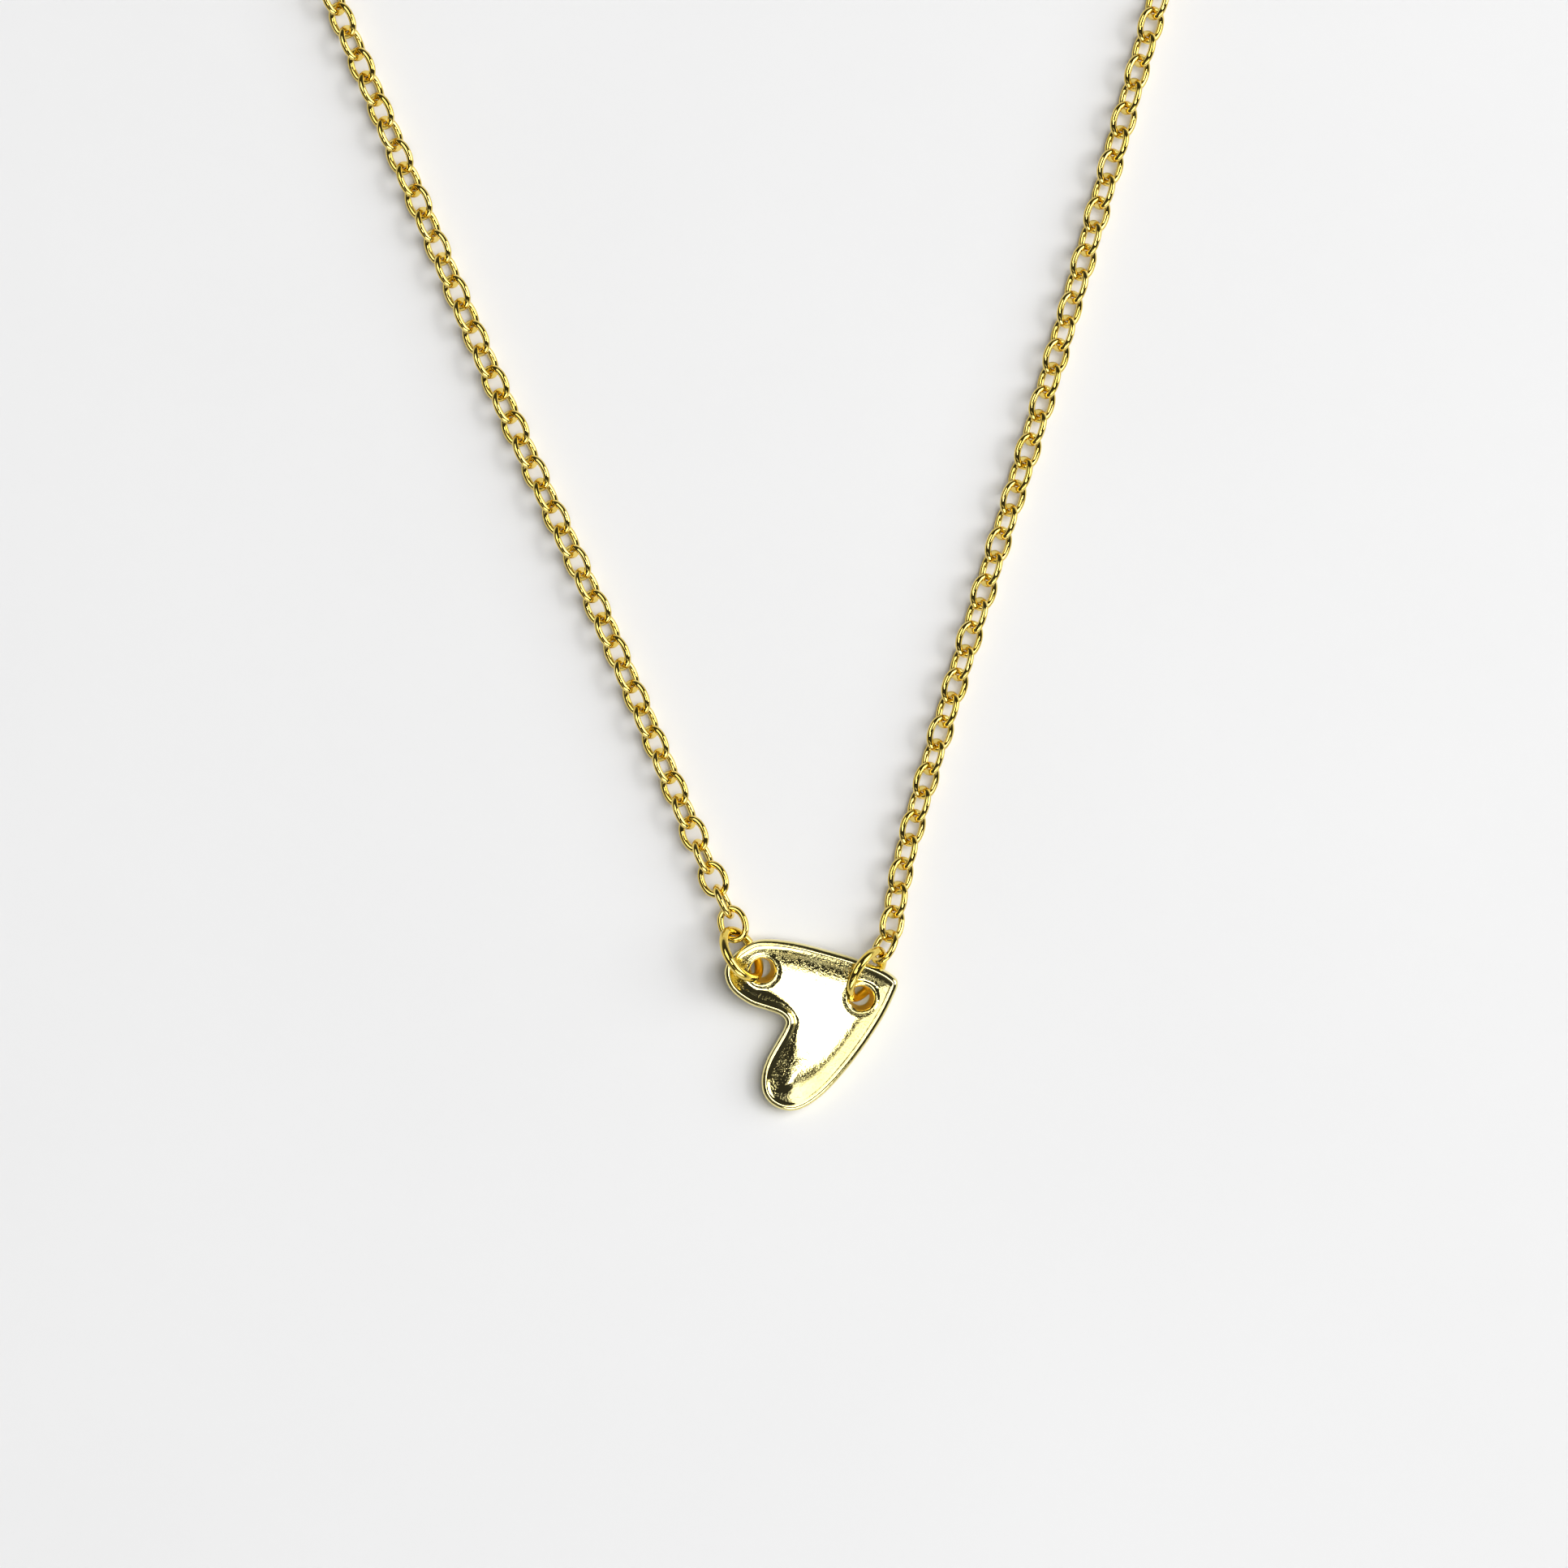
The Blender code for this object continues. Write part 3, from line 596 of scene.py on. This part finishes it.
def heart_mesh():
    from mathutils.geometry import delaunay_2d_cdt

    outline = make_heart()
    n = len(outline)
    points, loops = [], []

    def add_loop(loop):
        base = len(points)
        points.extend(loop)
        loops.append(list(range(base, base + len(loop))))

    add_loop([tuple(p) for p in outline])
    # rings of points that follow the rim, dropped where they would fold
    tangent = np.roll(outline, -1, 0) - np.roll(outline, 1, 0)
    tangent /= np.linalg.norm(tangent, axis=1)[:, None]
    normal = np.stack([-tangent[:, 1], tangent[:, 0]], 1)
    free = []
    for width in (0.012, 0.035, 0.07, 0.115, 0.165, 0.215, 0.27, 0.31, 0.35, 0.39, 0.43, 0.47, 0.51, 0.56, 0.62, 0.70):
        moved = outline + normal * width
        keep = near_outline(moved, outline) > width * 0.985
        free.extend(tuple(p) for p in moved[keep])
    holes = []
    for hole in (LEFT_HOLE, RIGHT_HOLE):
        count = 64
        ring = [
            (hole[0] + HOLE_R * math.cos(-2 * math.pi * i / count), hole[1] + HOLE_R * math.sin(-2 * math.pi * i / count))
            for i in range(count)
        ]
        add_loop(ring)
        holes.append(loops[-1])
        for extra in (0.02, 0.05, 0.09, 0.13, 0.18, 0.23, 0.29, 0.36):
            for i in range(count):
                a = 2 * math.pi * (i + 0.5 * (extra > 0.05)) / count
                free.append((hole[0] + (HOLE_R + extra) * math.cos(a), hole[1] + (HOLE_R + extra) * math.sin(a)))
    step = 0.11
    grid = []
    y, row = -5.2, 0
    while y < 5.2:
        x = -5.3 + (step / 2 if row % 2 else 0)
        while x < 5.3:
            grid.append((x, y))
            x += step
        y += step * 0.866
        row += 1
    grid = np.array(grid)
    free = np.array(free)

    def inside(pts):
        hit = np.zeros(len(pts), bool)
        for i in range(n):
            (x0, y0), (x1, y1) = outline[i], outline[(i + 1) % n]
            cross = (y0 > pts[:, 1]) != (y1 > pts[:, 1])
            with np.errstate(divide="ignore", invalid="ignore"):
                xs = (x1 - x0) * (pts[:, 1] - y0) / (y1 - y0) + x0
            hit ^= cross & (pts[:, 0] < xs)
        return hit

    grid = grid[inside(grid)]
    grid = grid[near_outline(grid, outline) > 0.75]
    free = free[inside(free)]
    for hole in (LEFT_HOLE, RIGHT_HOLE):
        grid = grid[np.linalg.norm(grid - np.array(hole), axis=1) > HOLE_R + 0.42]
        free = free[np.linalg.norm(free - np.array(hole), axis=1) > HOLE_R + 0.015]
    base = len(points)
    points.extend(tuple(p) for p in free)
    points.extend(tuple(p) for p in grid)
    edges = []
    for loop in loops:
        edges += [(loop[i], loop[(i + 1) % len(loop)]) for i in range(len(loop))]
    made = delaunay_2d_cdt([Vector(p) for p in points], edges, [], 0, 1e-7)
    vin, fin, orig = made[0], made[2], made[3]
    flat = np.array([(v.x, v.y) for v in vin])
    centres = np.array([flat[list(f)].mean(0) for f in fin])
    keep = inside(centres)
    for hole in (LEFT_HOLE, RIGHT_HOLE):
        keep &= np.linalg.norm(centres - np.array(hole), axis=1) > HOLE_R * 0.999
    faces = [tuple(f) for f, k in zip(fin, keep) if k]
    used = sorted({i for f in faces for i in f})
    remap = {v: i for i, v in enumerate(used)}
    faces = [tuple(remap[i] for i in f) for f in faces]
    flat = flat[used]
    return outline, flat, faces


def build_heart():
    outline, flat, top_faces = heart_mesh()
    # boundary loops of the top sheet
    count = {}
    for f in top_faces:
        for i in range(len(f)):
            e = (f[i], f[(i + 1) % len(f)])
            count[e] = count.get(e, 0) + 1
    border = {a: b for a, b in count if (b, a) not in count}
    loops, left = [], dict(border)
    while left:
        start = next(iter(left))
        loop, here = [], start
        while here in left:
            loop.append(here)
            here = left.pop(here)
        loops.append(loop)
    z = heart_top(flat, outline)
    verts = [(x, y, h) for (x, y), h in zip(flat, z)]
    # the sheet's border ring sits where the wall rounds over
    faces = list(top_faces)
    back_rings, bore_faces, bores = [], [], set()
    for loop in loops:
        ring_pts = np.array([flat[i] for i in loop])
        is_hole = min(np.linalg.norm(ring_pts - np.array(h), axis=1).max() for h in (LEFT_HOLE, RIGHT_HOLE)) < HOLE_R * 1.01
        t = np.roll(ring_pts, -1, 0) - np.roll(ring_pts, 1, 0)
        t /= np.linalg.norm(t, axis=1)[:, None]
        inward = np.stack([-t[:, 1], t[:, 0]], 1)  # towards the metal
        top_z = [z[i] for i in loop]
        previous = loop
        if is_hole:
            levels = [(0.0, 0.60, 0.1), (0.0, 0.44, 0.4), (0.0, 0.26, 0.75), (0.0, 0.08, 1.0), (0.0, 0.0, 1.0)]
            hole = min((LEFT_HOLE, RIGHT_HOLE), key=lambda h: np.linalg.norm(ring_pts[0] - np.array(h)))
            centre, low, small = np.array(hole), np.array(BORE_LEAN[hole][:2]), BORE_LEAN[hole][2]
            bore_faces[0:0] = [len(faces)]
        else:
            levels = [(0.0, 0.45, 1.0), (0.0, 0.16, 1.0), (0.03, 0.06, 1.0), (0.08, 0.015, 1.0), (0.15, 0.0, 1.0)]
        for inset, level, share in levels:
            base = len(verts)
            for k in range(len(loop)):
                p = ring_pts[k] + inward[k] * inset
                if is_hole:
                    p = centre + low * share + (p - centre) * (1 + (small - 1) * share)
                verts.append((p[0], p[1], (top_z[k] * 0.5 if level is None else level)))
            ring = list(range(base, base + len(loop)))
            for k in range(len(loop)):
                m = (k + 1) % len(loop)
                faces.append((previous[m], previous[k], ring[k], ring[m]))
            previous = ring
        if is_hole:
            bores.update(range(bore_faces[0], len(faces)))
        back_rings.append(previous)
    # flat back
    from mathutils.geometry import delaunay_2d_cdt

    ring_ids = [i for ring in back_rings for i in ring]
    pts = [Vector((verts[i][0], verts[i][1])) for i in ring_ids]
    edges, base = [], 0
    for ring in back_rings:
        m = len(ring)
        edges += [(base + i, base + (i + 1) % m) for i in range(m)]
        base += m
    grid = []
    for x in np.arange(-5.0, 5.01, 0.4):
        for y in np.arange(-5.0, 5.01, 0.4):
            grid.append((x, y))
    grid = np.array(grid)
    hit = np.zeros(len(grid), bool)
    m = len(outline)
    for i in range(m):
        (x0, y0), (x1, y1) = outline[i], outline[(i + 1) % m]
        cross = (y0 > grid[:, 1]) != (y1 > grid[:, 1])
        with np.errstate(divide="ignore", invalid="ignore"):
            xs = (x1 - x0) * (grid[:, 1] - y0) / (y1 - y0) + x0
        hit ^= cross & (grid[:, 0] < xs)
    grid = grid[hit]
    grid = grid[near_outline(grid, outline) > 0.35]
    for hole in (LEFT_HOLE, RIGHT_HOLE):
        grid = grid[np.linalg.norm(grid - np.array(hole), axis=1) > HOLE_R + 0.2]
    new_base = len(verts)
    verts += [(x, y, 0.0) for x, y in grid]
    ids = ring_ids + list(range(new_base, new_base + len(grid)))
    made = delaunay_2d_cdt(pts + [Vector(p) for p in grid], edges, [], 0, 1e-7)
    vin, fin, orig = made[0], made[2], made[3]
    rings = [[(verts[i][0], verts[i][1]) for i in ring] for ring in back_rings]
    for f in fin:
        c = np.mean([(vin[i].x, vin[i].y) for i in f], axis=0)
        hit = False
        for ring in rings:  # inside the rim's ring and outside both bores
            for i in range(len(ring)):
                (x0, y0), (x1, y1) = ring[i], ring[(i + 1) % len(ring)]
                if (y0 > c[1]) != (y1 > c[1]) and c[0] < (x1 - x0) * (c[1] - y0) / (y1 - y0) + x0:
                    hit = not hit
        if hit:
            faces.append(tuple(ids[orig[i][0]] for i in reversed(f)))
    turn = np.array(heart_matrix().to_3x3())
    local = np.array(verts)
    world = (local @ turn.T) * MM
    obj = make_object("heart_pendant_look", world, faces, HEART_GOLD, (0, 0, 0))
    obj.data.materials.append(BORE_GOLD)
    for i in bores:
        obj.data.polygons[i].material_index = 1
    outward(obj)
    obj.data.set_sharp_from_angle(angle=math.radians(50))
    return settle(obj, "heart_pendant", ["heart_pendant"])


# ---- free ends ----
def end_ring(name, path, spot, roll, seam):
    inner = 2 * (SMALL_RING_MID_R - RING_WIRE_R)
    nxt = walk(path, spot, inner - CONTACT_GAP)
    start, end = spot[1], nxt[1]
    x = (end - start).normalized()
    level = Vector((0, 0, 1)).cross(x).normalized()
    y = Matrix.Rotation(math.radians(roll), 3, x) @ level
    make_ring(name, (start + end) / 2, x, y, SMALL_RING_MID_R, start, seam)
    return nxt


def lathe(profile, cols, m, z_axis=True):
    """Points of a turned shape: (radius, height) pairs about local Z, through matrix m."""
    verts = []
    for r, h in profile:
        for j in range(cols):
            a = 2 * math.pi * j / cols
            verts.append(m @ Vector((r * math.cos(a), r * math.sin(a), h)))
    return np.array(verts)


def torus_points(mid_r, wire_r, rows, cols, m, flat=1.0):
    verts = []
    for i in range(rows):
        t = 2 * math.pi * i / rows
        for j in range(cols):
            f = 2 * math.pi * j / cols
            r = mid_r + wire_r * math.cos(f)
            verts.append(m @ Vector((r * math.cos(t), r * math.sin(t), wire_r * flat * math.sin(f))))
    return np.array(verts)


def make_extender(path, spot):
    for i in range(EXT_LINKS):
        nxt = walk(path, spot, EXT_L - 2 * EXT_WIRE - CONTACT_GAP)
        name = f"extender_link_{i + 1:02d}"
        make_links(
            name + "_look", [(spot[1], nxt[1], 45.0 if i % 2 else -45.0)], (EXT_L, EXT_W, EXT_WIRE),
            CHAIN_GOLD, name, [name], spot[1], 60, 20,
        )
        spot = nxt
    nxt = walk(path, spot, 1.0)
    base = Matrix.Translation(at(*spot[1])) @ frame_along(spot[1], nxt[1], 45.0)
    eye_mid = 0.85
    scale = Matrix.Diagonal((MM, MM, MM, 1))
    eye_m = base @ scale @ Matrix.Translation((eye_mid - 0.25 - CONTACT_GAP / 2, 0, 0))
    eye = torus_points(eye_mid, 0.25, 56, 18, eye_m)
    # the ball with a soft neck where the eye is cast on
    centre = 2 * eye_mid - 0.25 + DROP_R - 0.12
    to_x = Matrix.Rotation(math.radians(90), 4, "Y")
    ball_m = base @ scale @ Matrix.Translation((centre, 0, 0)) @ to_x
    profile = []
    for i in range(1, 40):
        a = math.pi * i / 40
        r, h = DROP_R * math.sin(a), -DROP_R * math.cos(a)
        if h < -0.86 * DROP_R:
            r = max(r, 0.30 + 0.25 * (h + DROP_R) / (0.14 * DROP_R))
        profile.append((r, h))
    profile = [(0.001, -DROP_R)] + profile + [(0.001, DROP_R)]
    ball = lathe(profile, 48, ball_m)
    faces = grid_faces(56, 18, True, True) + grid_faces(len(profile), 48, False, True, len(eye))
    obj = make_object("extender_drop_look", np.concatenate([eye, ball]), faces, DROP_GOLD, at(*spot[1]))
    outward(obj)
    settle(obj, "extender_drop", ["extender_drop"])


def tube_points(points, radii, cols, m, flat=1.0):
    """Points round a smooth path in the clasp's plane, with its ends drawn in."""
    verts, n = [], len(points)
    for i, p in enumerate(points):
        a = points[max(0, i - 1)]
        b = points[min(n - 1, i + 1)]
        t = (b - a).normalized()
        side = Vector((-t.y, t.x, 0))
        for j in range(cols):
            f = 2 * math.pi * j / cols
            q = p + side * (radii[i] * math.cos(f)) + Vector((0, 0, radii[i] * flat * math.sin(f)))
            verts.append(m @ q)
    return np.array(verts)


def make_clasp(path, spot):
    nxt = walk(path, spot, 9.0)
    start = Vector((spot[1].x, spot[1].y, CLASP_Z))
    end = Vector((nxt[1].x, nxt[1].y, CLASP_Z))
    base = Matrix.Translation(at(*start)) @ frame_along(start, end, 0.0) @ Matrix.Diagonal((MM, MM, MM, 1))
    eye_mid, eye_wire = 0.95, 0.30
    eye_x = eye_mid - eye_wire - CONTACT_GAP / 2
    boss_x, boss_r, boss_h = eye_x + 2.25, 1.20, 2.1
    pivot_x, pivot_y = boss_x + 0.05, 0.35
    one = Matrix.Identity(4)

    def solid(name, verts, faces):
        obj = make_object(name, verts, faces, CLASP_GOLD, (0, 0, 0))
        outward(obj)
        return obj

    eye = solid("eye", torus_points(eye_mid, eye_wire, 48, 16, Matrix.Translation((eye_x, 0, 0))), grid_faces(48, 16, True, True))
    r, h, c = boss_r, boss_h / 2, 0.35
    profile = [(0.001, -h)]
    for i in range(7):
        a = math.pi / 2 * i / 6
        profile.append((r - c + c * math.sin(a), -h + c - c * math.cos(a)))
    for i in range(7):
        a = math.pi / 2 * i / 6
        profile.append((r - c + c * math.cos(a), h - c + c * math.sin(a)))
    profile.append((0.001, h))
    boss = solid("boss", lathe(profile, 56, Matrix.Translation((boss_x, 0, 0))), grid_faces(len(profile), 56, False, True))
    claw_points = open_smooth(
        [
            Vector((boss_x + 0.45, -0.65, 0)), Vector((boss_x + 1.6, -1.45, 0)),
            Vector((boss_x + 3.3, -1.95, 0)), Vector((boss_x + 5.0, -1.45, 0)),
            Vector((boss_x + 5.85, -0.1, 0)), Vector((boss_x + 5.45, 1.25, 0)),
            Vector((boss_x + 4.35, 1.72, 0)),
        ],
        0.16,
    )
    n = len(claw_points)
    radii = [0.72 * (1.0 - 0.30 * (i / (n - 1)) ** 2) for i in range(n)]
    tip = claw_points[-1]
    heading = (claw_points[-1] - claw_points[-2]).normalized()
    radii[-1] *= 0.94
    pts = [claw_points[0]] + claw_points + [tip + heading * 0.03]
    radii = [0.001] + radii + [0.001]
    claw = solid("claw", tube_points(pts, radii, 24, one), grid_faces(len(pts), 24, False, True))
    bpy.ops.mesh.primitive_cube_add(size=1, location=(boss_x + 0.55, 0.95, 0))
    slot_cut = bpy.context.object
    slot_cut.scale = (3.4, 2.6, 0.98)
    bpy.ops.mesh.primitive_cylinder_add(vertices=32, radius=0.27, depth=4, location=(pivot_x, pivot_y, 0))
    bore = bpy.context.object
    for tool, kind in ((eye, "UNION"), (claw, "UNION"), (slot_cut, "DIFFERENCE"), (bore, "DIFFERENCE")):
        mod = boss.modifiers.new("join", "BOOLEAN")
        mod.operation = kind
        mod.solver = "EXACT"
        mod.object = tool
    bpy.context.view_layer.update()
    graph = bpy.context.evaluated_depsgraph_get()
    mesh = bpy.data.meshes.new_from_object(boss.evaluated_get(graph))
    body = bpy.data.objects.new("clasp_body_look", mesh)
    bpy.context.scene.collection.objects.link(body)
    for tool in (eye, boss, claw, slot_cut):
        bpy.data.objects.remove(tool, do_unlink=True)
    bm = bmesh.new()
    bm.from_mesh(mesh)
    bmesh.ops.remove_doubles(bm, verts=bm.verts, dist=0.002)
    bmesh.ops.dissolve_degenerate(bm, edges=bm.edges, dist=0.002)
    bm.to_mesh(mesh)
    bm.free()
    origin = at(*start)
    mesh.transform(Matrix.Translation(-origin) @ base)
    body.location = origin
    mesh.materials.clear()
    mesh.materials.append(CLASP_GOLD)
    mesh.shade_smooth()
    mesh.set_sharp_from_angle(angle=math.radians(32))
    settle(body, "clasp", ["clasp_body"])

    # gate: a rounded lever with a thumb tab
    arm = [
        (pivot_x - 0.52, pivot_y - 0.10), (pivot_x - 0.05, pivot_y - 0.52),
        (pivot_x + 0.60, pivot_y - 0.05), (pivot_x + 1.60, pivot_y + 0.62),
        (pivot_x + 2.70, pivot_y + 0.94), (pivot_x + 3.80, pivot_y + 0.98),
        (pivot_x + 3.74, pivot_y + 1.52), (pivot_x + 2.60, pivot_y + 1.62),
        (pivot_x + 1.40, pivot_y + 1.42), (pivot_x + 0.55, pivot_y + 1.55),
        (pivot_x - 0.10, pivot_y + 2.15), (pivot_x - 0.72, pivot_y + 1.98),
        (pivot_x - 0.62, pivot_y + 1.05),
    ]
    shape = np.array([(p.x, p.y) for p in closed_smooth([Vector((x, y)) for x, y in arm], 8)])
    t = np.roll(shape, -1, 0) - np.roll(shape, 1, 0)
    t /= np.linalg.norm(t, axis=1)[:, None]
    inward = np.stack([-t[:, 1], t[:, 0]], 1)
    rings = []
    half, edge = 0.43, 0.13
    for k in range(6):
        a = math.pi / 2 * k / 5
        rings.append((edge * (1 - math.sin(a)), -half + edge * (1 - math.cos(a))))
    rings += [(i, -z) for i, z in reversed(rings)]
    verts, m = [], len(shape)
    for inset, z in rings:
        p = shape + inward * inset
        verts += [(x, y, z) for x, y in p]
    gate_mesh = bpy.data.meshes.new("gate")
    faces = grid_faces(len(rings), m, False, True)
    faces.append(tuple(range(m)))
    faces.append(tuple(reversed(range((len(rings) - 1) * m, len(rings) * m))))
    gate = solid("gate", verts, faces)
    mod = gate.modifiers.new("bore", "BOOLEAN")
    mod.operation, mod.solver, mod.object = "DIFFERENCE", "EXACT", bore
    bpy.context.view_layer.update()
    graph = bpy.context.evaluated_depsgraph_get()
    mesh = bpy.data.meshes.new_from_object(gate.evaluated_get(graph))
    gate2 = bpy.data.objects.new("clasp_gate_look", mesh)
    bpy.context.scene.collection.objects.link(gate2)
    bpy.data.objects.remove(gate, do_unlink=True)
    bpy.data.objects.remove(bore, do_unlink=True)
    pivot = base @ Vector((pivot_x, pivot_y, 0))
    mesh.transform(Matrix.Translation(-pivot) @ base)
    gate2.location = pivot
    mesh.materials.clear()
    mesh.materials.append(CLASP_GOLD)
    mesh.shade_smooth()
    mesh.set_sharp_from_angle(angle=math.radians(32))
    settle(gate2, "clasp_gate", ["clasp_gate"])

    # pin with slightly domed ends
    half, r = 0.99, 0.23
    profile = [(0.001, -half - 0.03), (r * 0.6, -half - 0.02), (r * 0.9, -half + 0.01), (r, -half + 0.05)]
    profile += [(r, half - 0.05), (r * 0.9, half - 0.01), (r * 0.6, half + 0.02), (0.001, half + 0.03)]
    pin = make_object(
        "clasp_pivot_pin_look", lathe(profile, 32, base @ Matrix.Translation((pivot_x, pivot_y, 0))),
        grid_faces(len(profile), 32, False, True), CLASP_GOLD, pivot,
    )
    outward(pin)
    settle(pin, "clasp", ["clasp_pivot_pin"])

    # the coil spring behind the gate
    coil, turns, per_turn = [], 3, 28
    for i in range(turns * per_turn + 1):
        a = 2 * math.pi * i / per_turn
        coil.append(Vector((0.18 * math.cos(a), -0.30 + 0.60 * i / (turns * per_turn), 0.18 * math.sin(a))))
    verts, cols = [], 10
    move = Matrix.Translation((boss_x - 0.88, 0.62, 0))
    for i, p in enumerate(coil):
        t = (coil[min(len(coil) - 1, i + 1)] - coil[max(0, i - 1)]).normalized()
        out = Vector((p.x, 0, p.z)).normalized()
        across = t.cross(out).normalized()
        r = 0.05 if 0 < i < len(coil) - 1 else 0.03
        for j in range(cols):
            f = 2 * math.pi * j / cols
            verts.append(base @ move @ (p + out * (r * math.cos(f)) + across * (r * math.sin(f))))
    faces = grid_faces(len(coil), cols, False, True)
    faces += [tuple(range(cols)), tuple(reversed(range((len(coil) - 1) * cols, len(coil) * cols)))]
    spring = make_object("clasp_spring_look", verts, faces, STEEL, base @ move @ Vector((0, 0, 0)), 60)
    outward(spring)
    settle(spring, "clasp", ["clasp_spring"])


# ---- build ----
build_heart()
rings = {
    "left": ring_frame((-4.10, 4.10), -57.8, 62.0),
    "right": ring_frame((3.20, 2.94), 239.0, 66.8),
}
for side, hole, seam in (("left", LEFT_HOLE, 262.0), ("right", RIGHT_HOLE, 275.0)):
    middle, across, up = rings[side]
    make_ring(side + "_jump_ring", middle, across, up, RING_MID_R, Vector((hole[0], hole[1], middle.z - 0.5)), seam)
path, spot = make_strand("left", rings["left"], 215.0, LEFT_LINE, LEFT_TURN, LEFT_END_TURN, 18.0)
spot = end_ring("clasp_jump_ring", path, spot, 52.0, 250.0)
make_clasp(path, spot)
path, spot = make_strand("right", rings["right"], 198.0, RIGHT_LINE, RIGHT_TURN, RIGHT_END_TURN, 36.0)
spot = end_ring("extender_jump_ring", path, spot, 45.0, 250.0)
make_extender(path, spot)

# ---- floor ----
FLOOR_Z = TABLE_Z * MM - 0.00004


def floor_material():
    n = Nodes("white_board")
    n.join(
        "Base Color",
        n.mix(n.spread(n.noise(30.0, 4.0), 0.3, 0.7, 0.0, 1.0), (0.85, 0.85, 0.85, 1), (0.865, 0.865, 0.865, 1)),
    )
    n.shader.inputs["Roughness"].default_value = 0.9
    n.shader.inputs["Specular IOR Level"].default_value = 0.1
    n.join("Normal", n.bump(n.noise(2500.0, 4.0), 0.000004))
    return n.mat


bpy.ops.mesh.primitive_plane_add(size=3.0, location=(0, 0.1, FLOOR_Z))
floor = bpy.context.object
floor.name = "floor"
floor.data.materials.append(floor_material())


# ---- light ----
def area(name, place, target, size, power, colour=(1, 1, 1)):
    data = bpy.data.lights.new(name, "AREA")
    data.shape = "RECTANGLE"
    data.size, data.size_y = size
    data.energy = power
    data.color = colour
    obj = bpy.data.objects.new(name, data)
    bpy.context.scene.collection.objects.link(obj)
    obj.location = place
    obj.rotation_euler = (Vector(target) - Vector(place)).to_track_quat("-Z", "Y").to_euler()
    return obj


def panel(name, azimuth, polar, distance, size, radiance):
    """A soft panel facing the necklace, at a direction from it in degrees, as bright as given."""
    a, p = math.radians(azimuth), math.radians(polar)
    place = Vector((math.sin(p) * math.cos(a), math.sin(p) * math.sin(a), math.cos(p))) * distance
    return area(name, place, (0, 0.0, 0), size, radiance * size[0] * size[1] * math.pi)


soft = panel("soft", 15, 27, 1.8, (1.45, 1.45), 3.75)
soft.visible_glossy = False  # lays the soft shadows only, without a patch in the polish
panel("key", 12, 58, 1.9, (1.3, 1.3), 4.4)
panel("overhead", 255, 9.0, 1.2, (0.27, 0.27), 6.0)
# cards seen in the polish only
for card in (
    panel("fill", 142, 27, 1.1, (0.80, 0.68), 2.2),
    panel("front", 283, 61, 1.5, (1.25, 0.62), 4.0),
):
    card.visible_diffuse = False
panel("strip", 265, 36, 1.1, (1.2, 0.16), 0.5)

world = bpy.data.worlds.new("studio")
bpy.context.scene.world = world
world.use_nodes = True
tree = world.node_tree
coords = tree.nodes.new("ShaderNodeTexCoord")
split = tree.nodes.new("ShaderNodeSeparateXYZ")
tree.links.new(coords.outputs["Generated"], split.inputs["Vector"])
ramp = tree.nodes.new("ShaderNodeValToRGB")
tree.links.new(split.outputs["Z"], ramp.inputs["Fac"])
ramp.color_ramp.elements[0].position = 0.0
ramp.color_ramp.elements[0].color = (0.70, 0.70, 0.70, 1)
ramp.color_ramp.elements[1].position = 1.0
ramp.color_ramp.elements[1].color = (0.03, 0.03, 0.03, 1)
for where, tone in ((0.11, 0.55), (0.20, 0.08), (0.50, 0.04)):
    e = ramp.color_ramp.elements.new(where)
    e.color = (tone, tone, tone, 1)
tree.links.new(ramp.outputs["Color"], tree.nodes["Background"].inputs["Color"])
tree.nodes["Background"].inputs["Strength"].default_value = 1.0

# ---- camera ----
cam = bpy.data.cameras.new("camera")
cam_obj = bpy.data.objects.new("camera", cam)
bpy.context.scene.collection.objects.link(cam_obj)
CENTRE = Vector((-1.615, 14.04, 0.0)) * MM
DISTANCE = 0.55
cam.sensor_width = 36.0
cam.lens = 36.0 * DISTANCE / (1932 * 0.0475 * MM)
cam.clip_start, cam.clip_end = 0.01, 20.0
cam_obj.location = CENTRE + Vector((0, 0, DISTANCE))
cam_obj.rotation_euler = (0, 0, 0)
bpy.context.scene.camera = cam_obj
bpy.context.scene.view_settings.view_transform = "Standard"
